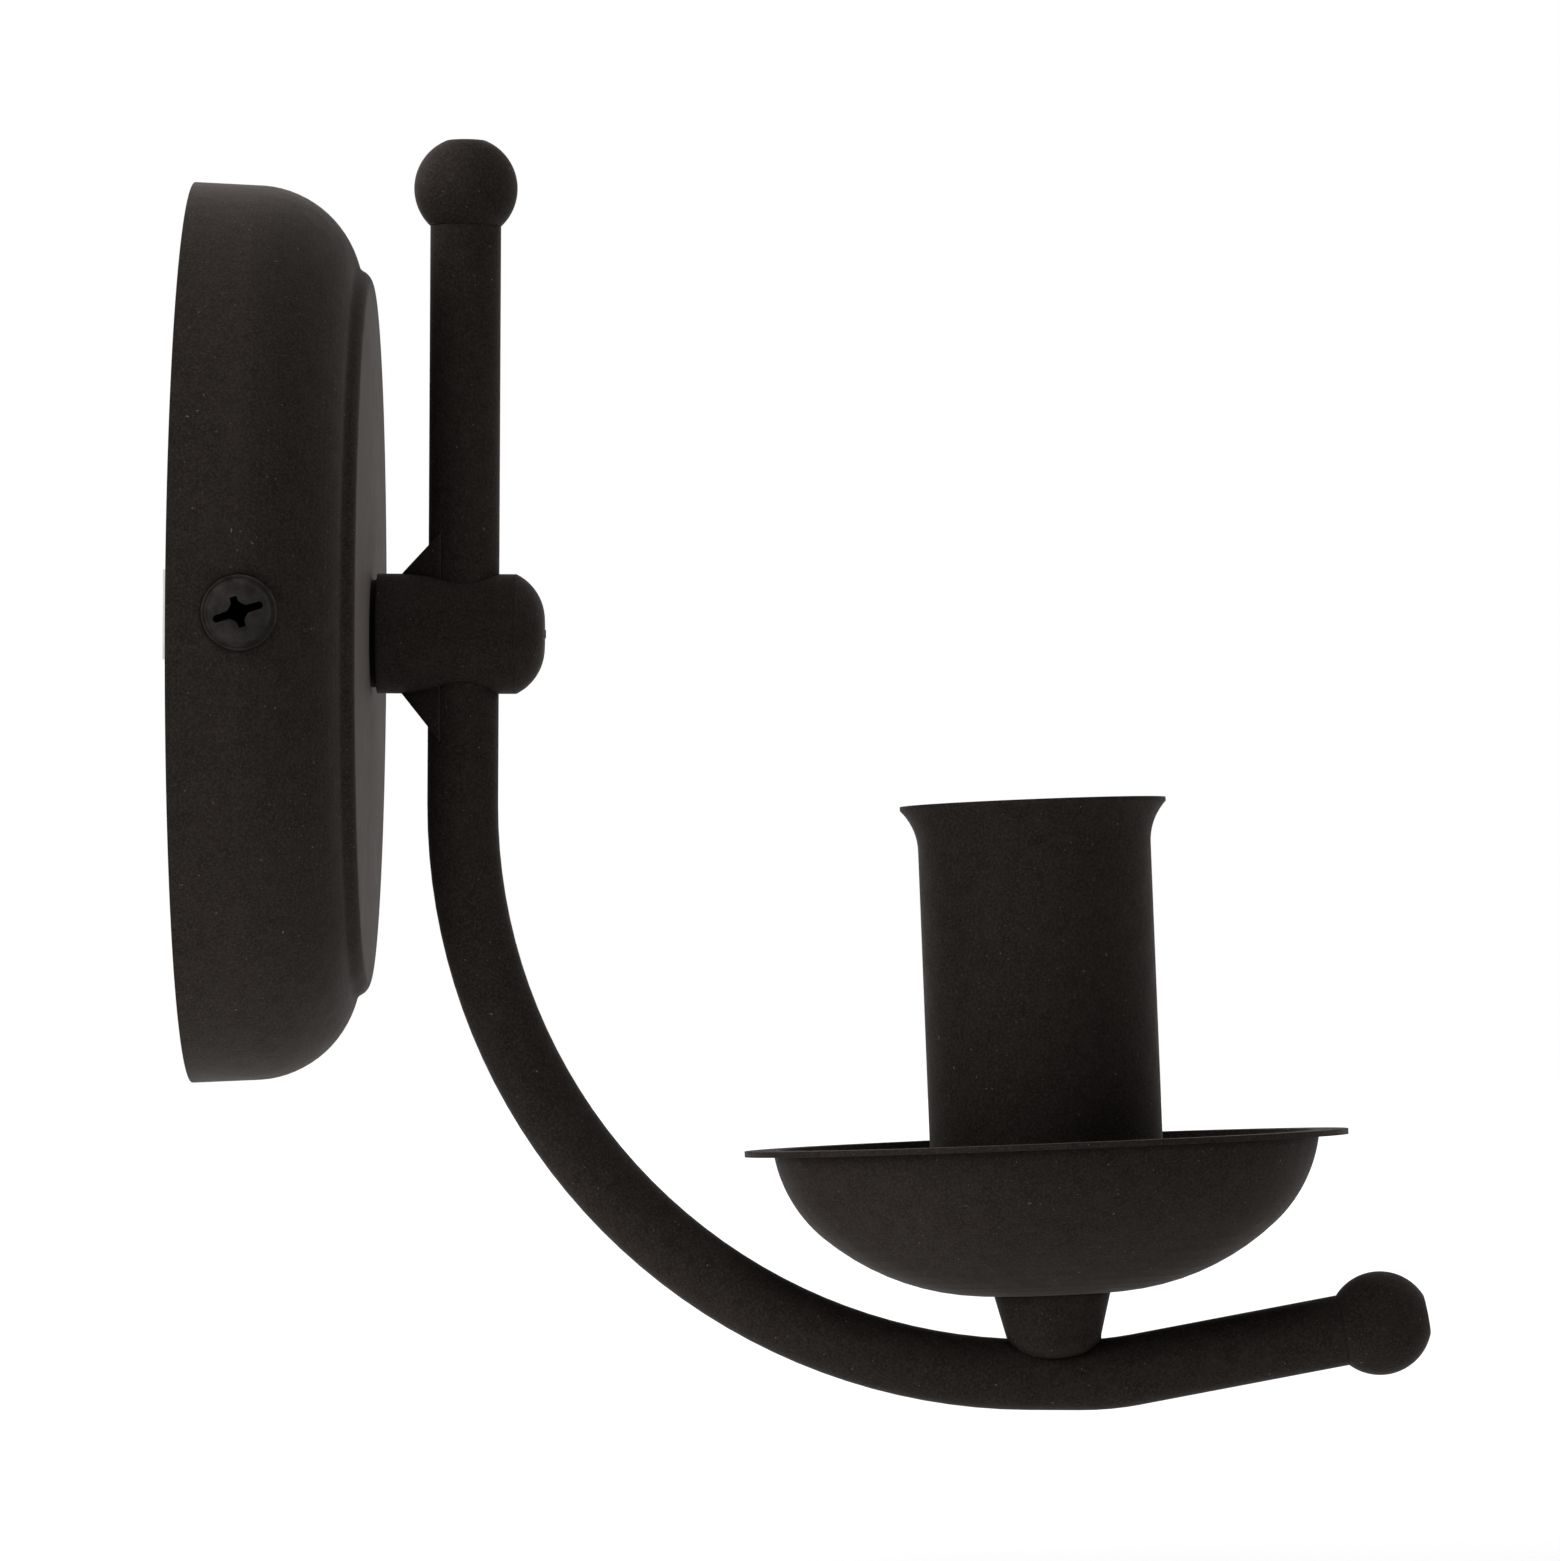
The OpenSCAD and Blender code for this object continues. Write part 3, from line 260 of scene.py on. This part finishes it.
def mixed_shaders(tree, share, first, second):
    return new_node(tree, "ShaderNodeMixShader", {0: share, 1: first, 2: second}).outputs[0]


def reckoned(tree, operation, first, second):
    """Result of a math node on two values."""
    return new_node(tree, "ShaderNodeMath", {0: first, 1: second}, operation=operation).outputs[0]


def rounded(tree, radius):
    """Normals that run softly over sharp edges, within a radius."""
    return new_node(tree, "ShaderNodeBevel", {"Radius": radius}, samples=EDGE_SAMPLES).outputs["Normal"]


def bumped(tree, height, strength, distance, under):
    """Bump from a height socket, on top of other normals."""
    inputs = {"Height": height, "Strength": strength, "Distance": distance, "Normal": under}
    return new_node(tree, "ShaderNodeBump", inputs).outputs["Normal"]


def on_edges(tree, radius):
    """1 on sharp edges and 0 on smooth faces, from how far a softened normal leans."""
    plain = new_node(tree, "ShaderNodeNewGeometry").outputs["Normal"]
    normals = {0: rounded(tree, radius), 1: plain}
    lean = new_node(tree, "ShaderNodeVectorMath", normals, operation="DOT_PRODUCT")
    return levels(tree, lean.outputs["Value"], EDGE_FULL, EDGE_END, first=1, last=0)


def openness(tree, reach):
    """0 in narrow hollows and 1 on open faces, within a reach."""
    node = new_node(tree, "ShaderNodeAmbientOcclusion", {"Distance": reach}, samples=HOLLOW_SAMPLES)
    return levels(tree, node.outputs["AO"], HOLLOW_FULL, HOLLOW_END)


# ---------- Materials ----------


def powder_coat():
    """Matt black coat: sandy, cloudy and warm, with a painted highlight on its edges, painted shade in
    its hollows, and rare pale dust.
    """
    dark, light = (0.0225, 0.0184, 0.0167), (0.0345, 0.0284, 0.0258)
    grain_tone, dust_tone = (0.058, 0.0478, 0.0434), (0.15, 0.138, 0.13)
    # Painted highlight for sharp edges, and painted shade for hollows and gaps between parts
    painted_edge_highlight, painted_hollow_shade = (0.1, 0.087, 0.079), (0.007, 0.0056, 0.0052)
    material, tree, where = new_material("black_coat")
    cloud = noise(tree, where, size=2.6 * MM, detail=6, roughness=0.7)
    shade = ramp(tree, cloud, (0.34, dark), (0.68, light))
    sand = noise(tree, where, size=0.34 * MM, detail=2, roughness=0.6)
    grained = mixed(tree, levels(tree, sand, low=0.42, high=0.8), shade, grain_tone)
    dust = noise(tree, where, size=0.42 * MM, detail=0)
    dusty = mixed(tree, levels(tree, dust, low=0.84, high=0.86), grained, dust_tone)
    # Sharp edges are painted lighter, as a highlight
    edge_highlighted = mixed(tree, on_edges(tree, radius=0.16 * MM), dusty, painted_edge_highlight)
    patches = noise(tree, where, size=3 * MM)
    soft_edges = rounded(tree, radius=0.25 * MM)
    skin = bumped(tree, sand, strength=0.3, distance=0.06 * MM, under=soft_edges)
    surface(tree, {
        # Hollows and gaps between parts are painted darker, as shade
        "Base Color": mixed(tree, openness(tree, reach=3 * MM), painted_hollow_shade, edge_highlighted),
        "Roughness": levels(tree, patches, NOISE_LOW, NOISE_HIGH, first=0.56, last=0.66),
        "Normal": bumped(tree, cloud, strength=0.15, distance=0.12 * MM, under=skin),
        "Specular IOR Level": 0.018,
        "Specular Tint": (1, 0.86, 0.8, 1),
        "Sheen Weight": 0.12,
        "Sheen Roughness": 0.3,
        "Sheen Tint": (1, 0.9, 0.85, 1),
    })
    return material


def black_lacquer():
    """Satin black on a small screw, with the steel just showing at worn places, and painted shade in its
    recess and groove.
    """
    # The hollow tone is painted shade for the recess and the groove by the dome
    black, worn_black, painted_hollow_shade = (0.011, 0.0091, 0.0084), (0.041, 0.0353, 0.0328), grey(0.0004)
    material, tree, where = new_material("black_screw")
    wear = noise(tree, where, size=2.6 * MM, detail=5, roughness=0.55)
    colour = mixed(tree, levels(tree, wear, low=0.4, high=0.72), black, worn_black)
    is_open = openness(tree, reach=4 * MM)
    soft_edges = rounded(tree, radius=0.12 * MM)
    surface(tree, {
        # Recess and groove are painted dark, as shade
        "Base Color": mixed(tree, is_open, painted_hollow_shade, colour),
        "Roughness": levels(tree, wear, low=0.3, high=0.75, first=0.4, last=0.55),
        "Normal": bumped(tree, wear, strength=0.7, distance=0.12 * MM, under=soft_edges),
        # Gloss also fades out in those hollows, along with the painted shade
        "Specular IOR Level": levels(tree, is_open, low=0, high=1, first=0, last=0.1),
    })
    return material


def metal(name, dark, light, cloud_size, rough_range):
    """Metal with clouds of colour and fine marks."""
    material, tree, where = new_material(name)
    cloud = noise(tree, where, cloud_size, detail=5, roughness=0.6)
    marks = noise(tree, where, cloud_size / MARKS_PER_CLOUD)
    soft_edges = rounded(tree, radius=0.1 * MM)
    surface(tree, {
        "Base Color": ramp(tree, cloud, (NOISE_LOW, dark), (NOISE_HIGH, light)),
        "Roughness": levels(tree, marks, NOISE_LOW, NOISE_HIGH, *rough_range),
        "Normal": bumped(tree, marks, strength=0.15, distance=0.02 * MM, under=soft_edges),
        "Metallic": 1,
    })
    return material


def moulded(name, dark, light, rough_range, grain_size, grain_strength, gloss=0.5):
    """Plastic or ceramic with a faint cloud of colour and a fine surface."""
    material, tree, where = new_material(name)
    cloud = noise(tree, where, size=6 * MM)
    grain = noise(tree, where, grain_size, detail=2)
    soft_edges = rounded(tree, radius=0.15 * MM)
    surface(tree, {
        "Base Color": ramp(tree, cloud, (NOISE_LOW, dark), (NOISE_HIGH, light)),
        "Roughness": levels(tree, grain, NOISE_LOW, NOISE_HIGH, *rough_range),
        "Normal": bumped(tree, grain, strength=grain_strength, distance=0.03 * MM, under=soft_edges),
        "Specular IOR Level": gloss,
    })
    return material


def wire_insulation(name, dark, light):
    """Smooth plastic of one colour."""
    return moulded(name, dark, light, rough_range=(0.34, 0.46), grain_size=0.5 * MM, grain_strength=0.1)


def earth_insulation():
    """Green insulation with a yellow stripe that winds along the wire."""
    green, yellow = (0.03, 0.2, 0.045), (0.72, 0.56, 0.03)
    material, tree, where = new_material("green_wire")
    inputs = {"Vector": where, "Scale": 0.12 / MM, "Distortion": 0.4}
    wave = new_node(tree, "ShaderNodeTexWave", inputs, bands_direction="DIAGONAL")
    patches = noise(tree, where, size=0.5 * MM)
    surface(tree, {
        "Base Color": ramp(tree, wave.outputs["Fac"], (0.46, green), (0.54, yellow)),
        "Roughness": levels(tree, patches, NOISE_LOW, NOISE_HIGH, first=0.36, last=0.46),
    })
    return material


MATERIALS = {
    "black_coat": powder_coat(),
    "black_screw": black_lacquer(),
    "zinc_steel": metal(
        "zinc_steel", (0.5, 0.51, 0.5), (0.72, 0.72, 0.71), cloud_size=5 * MM, rough_range=(0.24, 0.4)
    ),
    "brass": metal(
        "brass", (0.62, 0.43, 0.16), (0.8, 0.6, 0.27), cloud_size=4 * MM, rough_range=(0.22, 0.38)
    ),
    "spring_steel": metal(
        "spring_steel", (0.36, 0.36, 0.37), (0.55, 0.55, 0.56), cloud_size=1 * MM, rough_range=(0.25, 0.4)
    ),
    "black_plastic": moulded(
        "black_plastic", (0.016, 0.0145, 0.014), (0.024, 0.022, 0.021),
        rough_range=(0.42, 0.54), grain_size=0.4 * MM, grain_strength=0.15, gloss=0.18,
    ),
    "cream_insulator": moulded(
        "cream_insulator", (0.56, 0.52, 0.43), (0.68, 0.64, 0.55),
        rough_range=(0.5, 0.7), grain_size=0.5 * MM, grain_strength=0.35,
    ),
    "white_plastic": moulded(
        "white_plastic", (0.66, 0.65, 0.6), (0.76, 0.75, 0.71),
        rough_range=(0.38, 0.5), grain_size=0.5 * MM, grain_strength=0.12,
    ),
    "brown_wire": wire_insulation("brown_wire", (0.1, 0.035, 0.015), (0.15, 0.055, 0.022)),
    "blue_wire": wire_insulation("blue_wire", (0.02, 0.07, 0.28), (0.035, 0.11, 0.38)),
    "green_wire": earth_insulation(),
}


# ---------- Mesh helpers ----------


def mesh_piece(name, points, faces, slot, body):
    """A closed mesh piece that takes its finish from a slot and rides on a body."""
    mesh = bpy.data.meshes.new(name)
    mesh.from_pydata(points, [], faces)
    mesh.validate()
    mesh.shade_smooth()
    mesh.set_sharp_from_angle(angle=SHARP_ANGLE)
    piece = bpy.data.objects.new(name, mesh)
    bpy.context.scene.collection.objects.link(piece)
    mesh.materials.append(MATERIALS[slot])
    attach(piece, body)
    return piece


def body_of_node(name):
    return next(b for b, members in record["behaviour"]["bodies"].items() if name in members)


def axis_frame(origin, axis):
    """Matrix that stands Z along an axis at an origin."""
    return Matrix.Translation(origin) @ axis.to_track_quat("Z", "Y").to_matrix().to_4x4()


def turns_of(sides):
    """Angles of a ring's points."""
    return [2 * math.pi * k / sides for k in range(sides)]


def ring(radii, z):
    """Points of a ring about Z at a height, one for each radius."""
    return [(r * math.cos(t), r * math.sin(t), z) for r, t in zip(radii, turns_of(len(radii)))]


def joined_rings(rings, place, capped=False):
    """Points and faces of rings joined in order: the last one to the first, or closed by flat ends."""
    sides, count = len(rings[0]), len(rings)
    points = [place @ Vector(p) for one in rings for p in one]
    faces = []
    for i in range(count - 1 if capped else count):
        a, b = i * sides, ((i + 1) % count) * sides
        for k in range(sides):
            n = (k + 1) % sides
            faces.append((a + k, a + n, b + n, b + k))
    if capped:
        last = len(points) - sides
        faces.append(tuple(reversed(range(sides))))
        faces.append(tuple(range(last, last + sides)))
    return points, faces


def threaded_tube(length, rows, sides, outer, inner):
    """Rings up the outside and back down the inside; radii are functions of turn and height."""
    heights = [length * i / rows for i in range(rows + 1)]
    outside = [ring([outer(t, z) for t in turns_of(sides)], z) for z in heights]
    inside = [ring([inner(t, z) for t in turns_of(sides)], z) for z in reversed(heights)]
    return outside + inside


def round_thread(turn, z, pitch):
    """Wave of a lamp's round thread, 0 at the crest and 1 at the root."""
    return (1 - math.cos(2 * math.pi * z / pitch - turn)) / 2


def sharp_thread(turn, z, pitch):
    """Wave of a pointed thread, 0 at the crest and 1 at the root."""
    return abs(((z / pitch - turn / (2 * math.pi)) % 1) * 2 - 1)


# ---------- Pieces of the holder, and threaded pipes ----------


def screw_shell():
    """Brass shell of the socket, with its rolled thread, narrow cup and floor."""
    wall_low = SOCKET_MID - LAMP_AXIS * (SOCKET_LEN / 2)
    cup_r = SOCKET_R - SHELL_CUP_INSET

    def outer(turn, z):
        return SOCKET_R + SHELL_SHEET - LAMP_THREAD_DEPTH * round_thread(turn, z, LAMP_PITCH)

    def inner(turn, z):
        return outer(turn, z) - SHELL_SHEET

    wall = threaded_tube(SOCKET_LEN, SHELL_ROWS, SHELL_SIDES, outer, inner)
    cup_profile = [
        (cup_r - SHELL_SHEET, -SHELL_SHEET),
        (cup_r - SHELL_SHEET, -SHELL_CUP_DEPTH + SHELL_SHEET),
        (SHELL_HOLE_R, -SHELL_CUP_DEPTH + SHELL_SHEET),
        (SHELL_HOLE_R, -SHELL_CUP_DEPTH),
        (cup_r, -SHELL_CUP_DEPTH),
        (cup_r, -SHELL_SHEET),
    ]
    cup = [ring([r] * SHELL_SIDES, z) for r, z in cup_profile]
    points, faces = joined_rings(wall + cup, axis_frame(wall_low, LAMP_AXIS))
    piece = mesh_piece("threaded_shell", points, faces, "brass", body_of_node("screw_shell"))
    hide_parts("screw_shell")


def contact_spring():
    """Coil spring under the centre contact, made at one length; nothing here shortens it as the contact
    goes down.
    """
    verts = [v.co - SOCKET_MID for v in nodes["contact_spring"].data.vertices]
    along = [v.dot(LAMP_AXIS) for v in verts]
    coil_r = max((v - LAMP_AXIS * z).length for v, z in zip(verts, along)) - SPRING_WIRE_R
    foot = SOCKET_MID + LAMP_AXIS * min(along)
    length = max(along) - min(along)
    count = SPRING_TURNS * SPRING_STEPS_PER_TURN
    rings = []
    for i in range(count + 1):
        turn = 2 * math.pi * i / SPRING_STEPS_PER_TURN
        rise = SPRING_WIRE_R + (length - 2 * SPRING_WIRE_R) * i / count
        section = []
        for around in turns_of(SPRING_WIRE_SIDES):
            out = coil_r + SPRING_WIRE_R * math.cos(around)
            height = rise - SPRING_WIRE_R * math.sin(around)
            section.append((out * math.cos(turn), out * math.sin(turn), height))
        rings.append(section)
    points, faces = joined_rings(rings, axis_frame(foot, LAMP_AXIS), capped=True)
    piece = mesh_piece("coil_spring", points, faces, "spring_steel", body_of_node("contact_spring"))
    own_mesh(piece)
    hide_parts("contact_spring")


def threaded_pipe(name, node, start, end):
    """M10 pipe with its fine thread, chamfered ends and plain bore, in place of the node."""
    length = (end - start).length

    def outer(turn, z):
        thread = PIPE_THREAD_DEPTH * sharp_thread(turn, z, PIPE_PITCH)
        chamfer = max(0, PIPE_END_CHAMFER - min(z, length - z))
        return PIPE_R - max(thread, chamfer)

    def inner(_turn, _z):
        return PIPE_BORE_R

    rows = int(length / PIPE_PITCH * PIPE_ROWS_PER_TURN)
    rings = threaded_tube(length, rows, PIPE_SIDES, outer, inner)
    points, faces = joined_rings(rings, axis_frame(start, (end - start).normalized()))
    piece = mesh_piece(name, points, faces, "zinc_steel", body_of_node(node))
    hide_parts(node)


def lamp_pipe_ends():
    """Ends of the pipe under the holder, on the lamp's axis."""
    along = [(v.co - SOCKET_MID).dot(LAMP_AXIS) for v in nodes["lamp_pipe"].data.vertices]
    return SOCKET_MID + LAMP_AXIS * min(along), SOCKET_MID + LAMP_AXIS * max(along)


def hub_pipe_ends():
    """Ends of the pipe through cup and hub, on the cup's axis."""
    low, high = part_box("hub_pipe")
    return Vector((low.x, 0, 0)), Vector((high.x, 0, 0))


# ---------- Side screws ----------


def capped_solid(rings):
    """Mesh of rings joined in order, closed at both ends."""
    points, faces = joined_rings(rings, Matrix.Identity(4), capped=True)
    mesh = bpy.data.meshes.new("solid")
    mesh.from_pydata(points, [], faces)
    return mesh


def screw_blank():
    """Screw along Z with its seat at 0: M4 thread, collar, groove and domed head."""

    def radius(turn, z):
        thread = SCREW_THREAD_DEPTH * sharp_thread(turn, z, SCREW_PITCH)
        chamfer = max(0, SCREW_CHAMFER - (z + SCREW_LEN))
        return SCREW_R - max(thread, chamfer)

    rows = int(SCREW_LEN / SCREW_PITCH * SCREW_ROWS_PER_TURN)
    heights = [-SCREW_LEN + SCREW_LEN * i / rows for i in range(rows + 1)]
    rings = [ring([radius(t, z) for t in turns_of(SCREW_SIDES)], z) for z in heights]
    head = [(r * MM, max(z * MM, COLLAR_SEAT)) for z, r in COLLAR_PROFILE_MM]
    for i in range(DOME_STEPS):
        angle = math.pi / 2 * i / DOME_STEPS
        head.append((DOME_R * math.cos(angle), DOME_LOW + (SCREW_TOP - DOME_LOW) * math.sin(angle)))
    return capped_solid(rings + [ring([r] * SCREW_SIDES, z) for r, z in head])


def recess_outline():
    """A long slot with round ends through a short cross."""
    quarter = []
    for i in range(SLOT_END_STEPS):
        angle = math.pi / 2 * i / SLOT_END_STEPS
        x = SLOT_HALF_LEN - SLOT_HALF_W + SLOT_HALF_W * math.cos(angle)
        quarter.append((x, SLOT_HALF_W * math.sin(angle)))
    quarter.append((NOTCH + NOTCH_FLARE, SLOT_HALF_W))
    quarter.append((NOTCH * NOTCH_IN, NOTCH * NOTCH_IN))
    quarter.append((SLOT_HALF_W, NOTCH + NOTCH_FLARE))
    quarter.append((SLOT_HALF_W * CROSS_END_SHARE, CROSS_HALF_LEN))
    upper = quarter + [(-x, y) for x, y in reversed(quarter)]
    return upper + [(-x, -y) for x, y in upper]


def recess_cutter():
    """Tapered prism under the recess outline."""
    outline = recess_outline()
    return capped_solid([
        [(x * share, y * share, SCREW_TOP + rise) for x, y in outline] for rise, share in RECESS_LEVELS
    ])


def cut(mesh, tool):
    """The mesh with the tool's space cut away."""
    body = bpy.data.objects.new("body", mesh)
    cutter = bpy.data.objects.new("cutter", tool)
    for thing in (body, cutter):
        bpy.context.scene.collection.objects.link(thing)
    boolean = body.modifiers.new("cut", "BOOLEAN")
    boolean.object = cutter
    boolean.solver = "EXACT"
    result = bpy.data.meshes.new_from_object(body.evaluated_get(bpy.context.evaluated_depsgraph_get()))
    for thing in (body, cutter):
        bpy.data.objects.remove(thing)
    return result


def side_screws():
    """Both collar screws, with thread, groove and recess, in place of the plain ones."""
    low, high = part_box("cover_screws")
    middle_x = (low.x + high.x) / 2
    screw = cut(screw_blank(), recess_cutter())
    points, faces = [], []
    for side, tip_y in ((-1, low.y), (1, high.y)):
        turn = Matrix.Rotation(-side * math.pi / 2, 4, "X") @ Matrix.Rotation(SCREW_TURN, 4, "Z")
        place = Matrix.Translation((middle_x, tip_y - side * SCREW_TOP, 0)) @ turn
        start = len(points)
        points += [place @ v.co for v in screw.vertices]
        faces += [tuple(start + i for i in p.vertices) for p in screw.polygons]
    piece = mesh_piece("collar_screws", points, faces, "black_screw", body_of_node("cover_screws"))
    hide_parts("cover_screws")


# ---------- Floor, light and camera ----------


def is_seen(tree):
    """1 for rays that show the surroundings: straight, mirrored or through glass."""
    path = new_node(tree, "ShaderNodeLightPath")
    seen = path.outputs["Is Camera Ray"]
    for name in ("Is Glossy Ray", "Is Transmission Ray"):
        seen = reckoned(tree, "MAXIMUM", seen, path.outputs[name])
    return seen


def white_world(strength):
    """World that looks white and lights with a strength."""
    world = bpy.data.worlds.new("studio")
    bpy.context.scene.world = world
    tree = empty_tree(world)
    light, shown = (
        new_node(tree, "ShaderNodeBackground", {"Color": (1, 1, 1, 1), "Strength": level}).outputs[0]
        for level in (strength, 1)
    )
    both = mixed_shaders(tree, is_seen(tree), light, shown)
    new_node(tree, "ShaderNodeOutputWorld", {"Surface": both})


def floor_material():
    """Pale matt floor under a white that grows to whole with distance, so that no horizon shows."""
    material, tree, where = new_material("pale_floor")
    matt = new_node(tree, "ShaderNodeBsdfDiffuse", {"Color": (*grey(FLOOR_TONE), 1)})
    white = new_node(tree, "ShaderNodeEmission", {"Strength": FLOOR_WHITE})
    distance = new_node(tree, "ShaderNodeVectorMath", {0: where}, operation="LENGTH")
    white_share = new_node(tree, "ShaderNodeMapRange", {
        "Value": distance.outputs["Value"],
        "From Min": NEAR,
        "From Max": FAR,
        "To Min": NEAR_WHITE_SHARE,
        "To Max": FAR_WHITE_SHARE,
    })
    shown = reckoned(tree, "MULTIPLY", is_seen(tree), white_share.outputs["Result"])
    share = reckoned(tree, "MAXIMUM", shown, GLOW_SHARE)
    both = mixed_shaders(tree, share, matt.outputs[0], white.outputs[0])
    new_node(tree, "ShaderNodeOutputMaterial", {"Surface": both})
    return material


def pale_floor(z, reach):
    """Flat floor at a height, which looks white and keeps a soft shadow."""
    mesh = bpy.data.meshes.new("floor")
    corners = [(-reach, -reach, z), (reach, -reach, z), (reach, reach, z), (-reach, reach, z)]
    mesh.from_pydata(corners, [], [(0, 1, 2, 3)])
    mesh.materials.append(floor_material())
    floor = bpy.data.objects.new("floor", mesh)
    bpy.context.scene.collection.objects.link(floor)


def soft_lamp(name, place, target, size, power):
    """Round area lamp that faces a target."""
    data = bpy.data.lights.new(name, "AREA")
    data.shape = "DISK"
    data.size = size
    data.energy = power
    lamp = bpy.data.objects.new(name, data)
    lamp.location = place
    lamp.rotation_euler = (target - place).to_track_quat("-Z", "Y").to_euler()
    # Metal mirrors the white surroundings alone, so it keeps its written colour
    lamp.visible_glossy = False
    bpy.context.scene.collection.objects.link(lamp)


def photo_camera():
    """Camera that frames the object as the photograph does."""
    data = bpy.data.cameras.new("camera")
    data.sensor_width = SENSOR
    data.lens = FOCAL_PX * SENSOR / IMAGE_H
    data.clip_start, data.clip_end = CLIP_START, CLIP_END
    turn = Matrix.Rotation(-CAMERA_ROLL, 3, "Y")
    px = MM / SCALE_PX_MM
    target = turn @ Vector(((IMAGE_W / 2 - WALL_PX) * px, 0, (MIDDLE_PX - IMAGE_H / 2) * px))
    camera = bpy.data.objects.new("camera", data)
    camera.location = target + turn @ Vector((0, -FOCAL_PX * px, CAMERA_RISE))
    camera.rotation_euler = (target - camera.location).to_track_quat("-Z", "Y").to_euler()
    camera.rotation_euler.rotate_axis("Z", CAMERA_ROLL)
    bpy.context.scene.collection.objects.link(camera)
    bpy.context.scene.camera = camera


# ---------- The scene ----------

screw_shell()
contact_spring()
threaded_pipe("threaded_hub_pipe", "hub_pipe", *hub_pipe_ends())
threaded_pipe("threaded_lamp_pipe", "lamp_pipe", *lamp_pipe_ends())
side_screws()

for part in record["subparts"]:
    carried = nodes[part["node"]]
    carried.data.materials.clear()
    carried.data.materials.append(MATERIALS[part["material_slot"]])

middle = (cad_box[0] + cad_box[1]) / 2
white_world(WORLD_STRENGTH)
pale_floor(cad_box[0].z - FLOOR_DROP, FLOOR_REACH)
for name, place, size, power in LAMPS:
    soft_lamp(name, middle + Vector(place), middle, size, power)
photo_camera()
bpy.context.scene.view_settings.view_transform = "Standard"
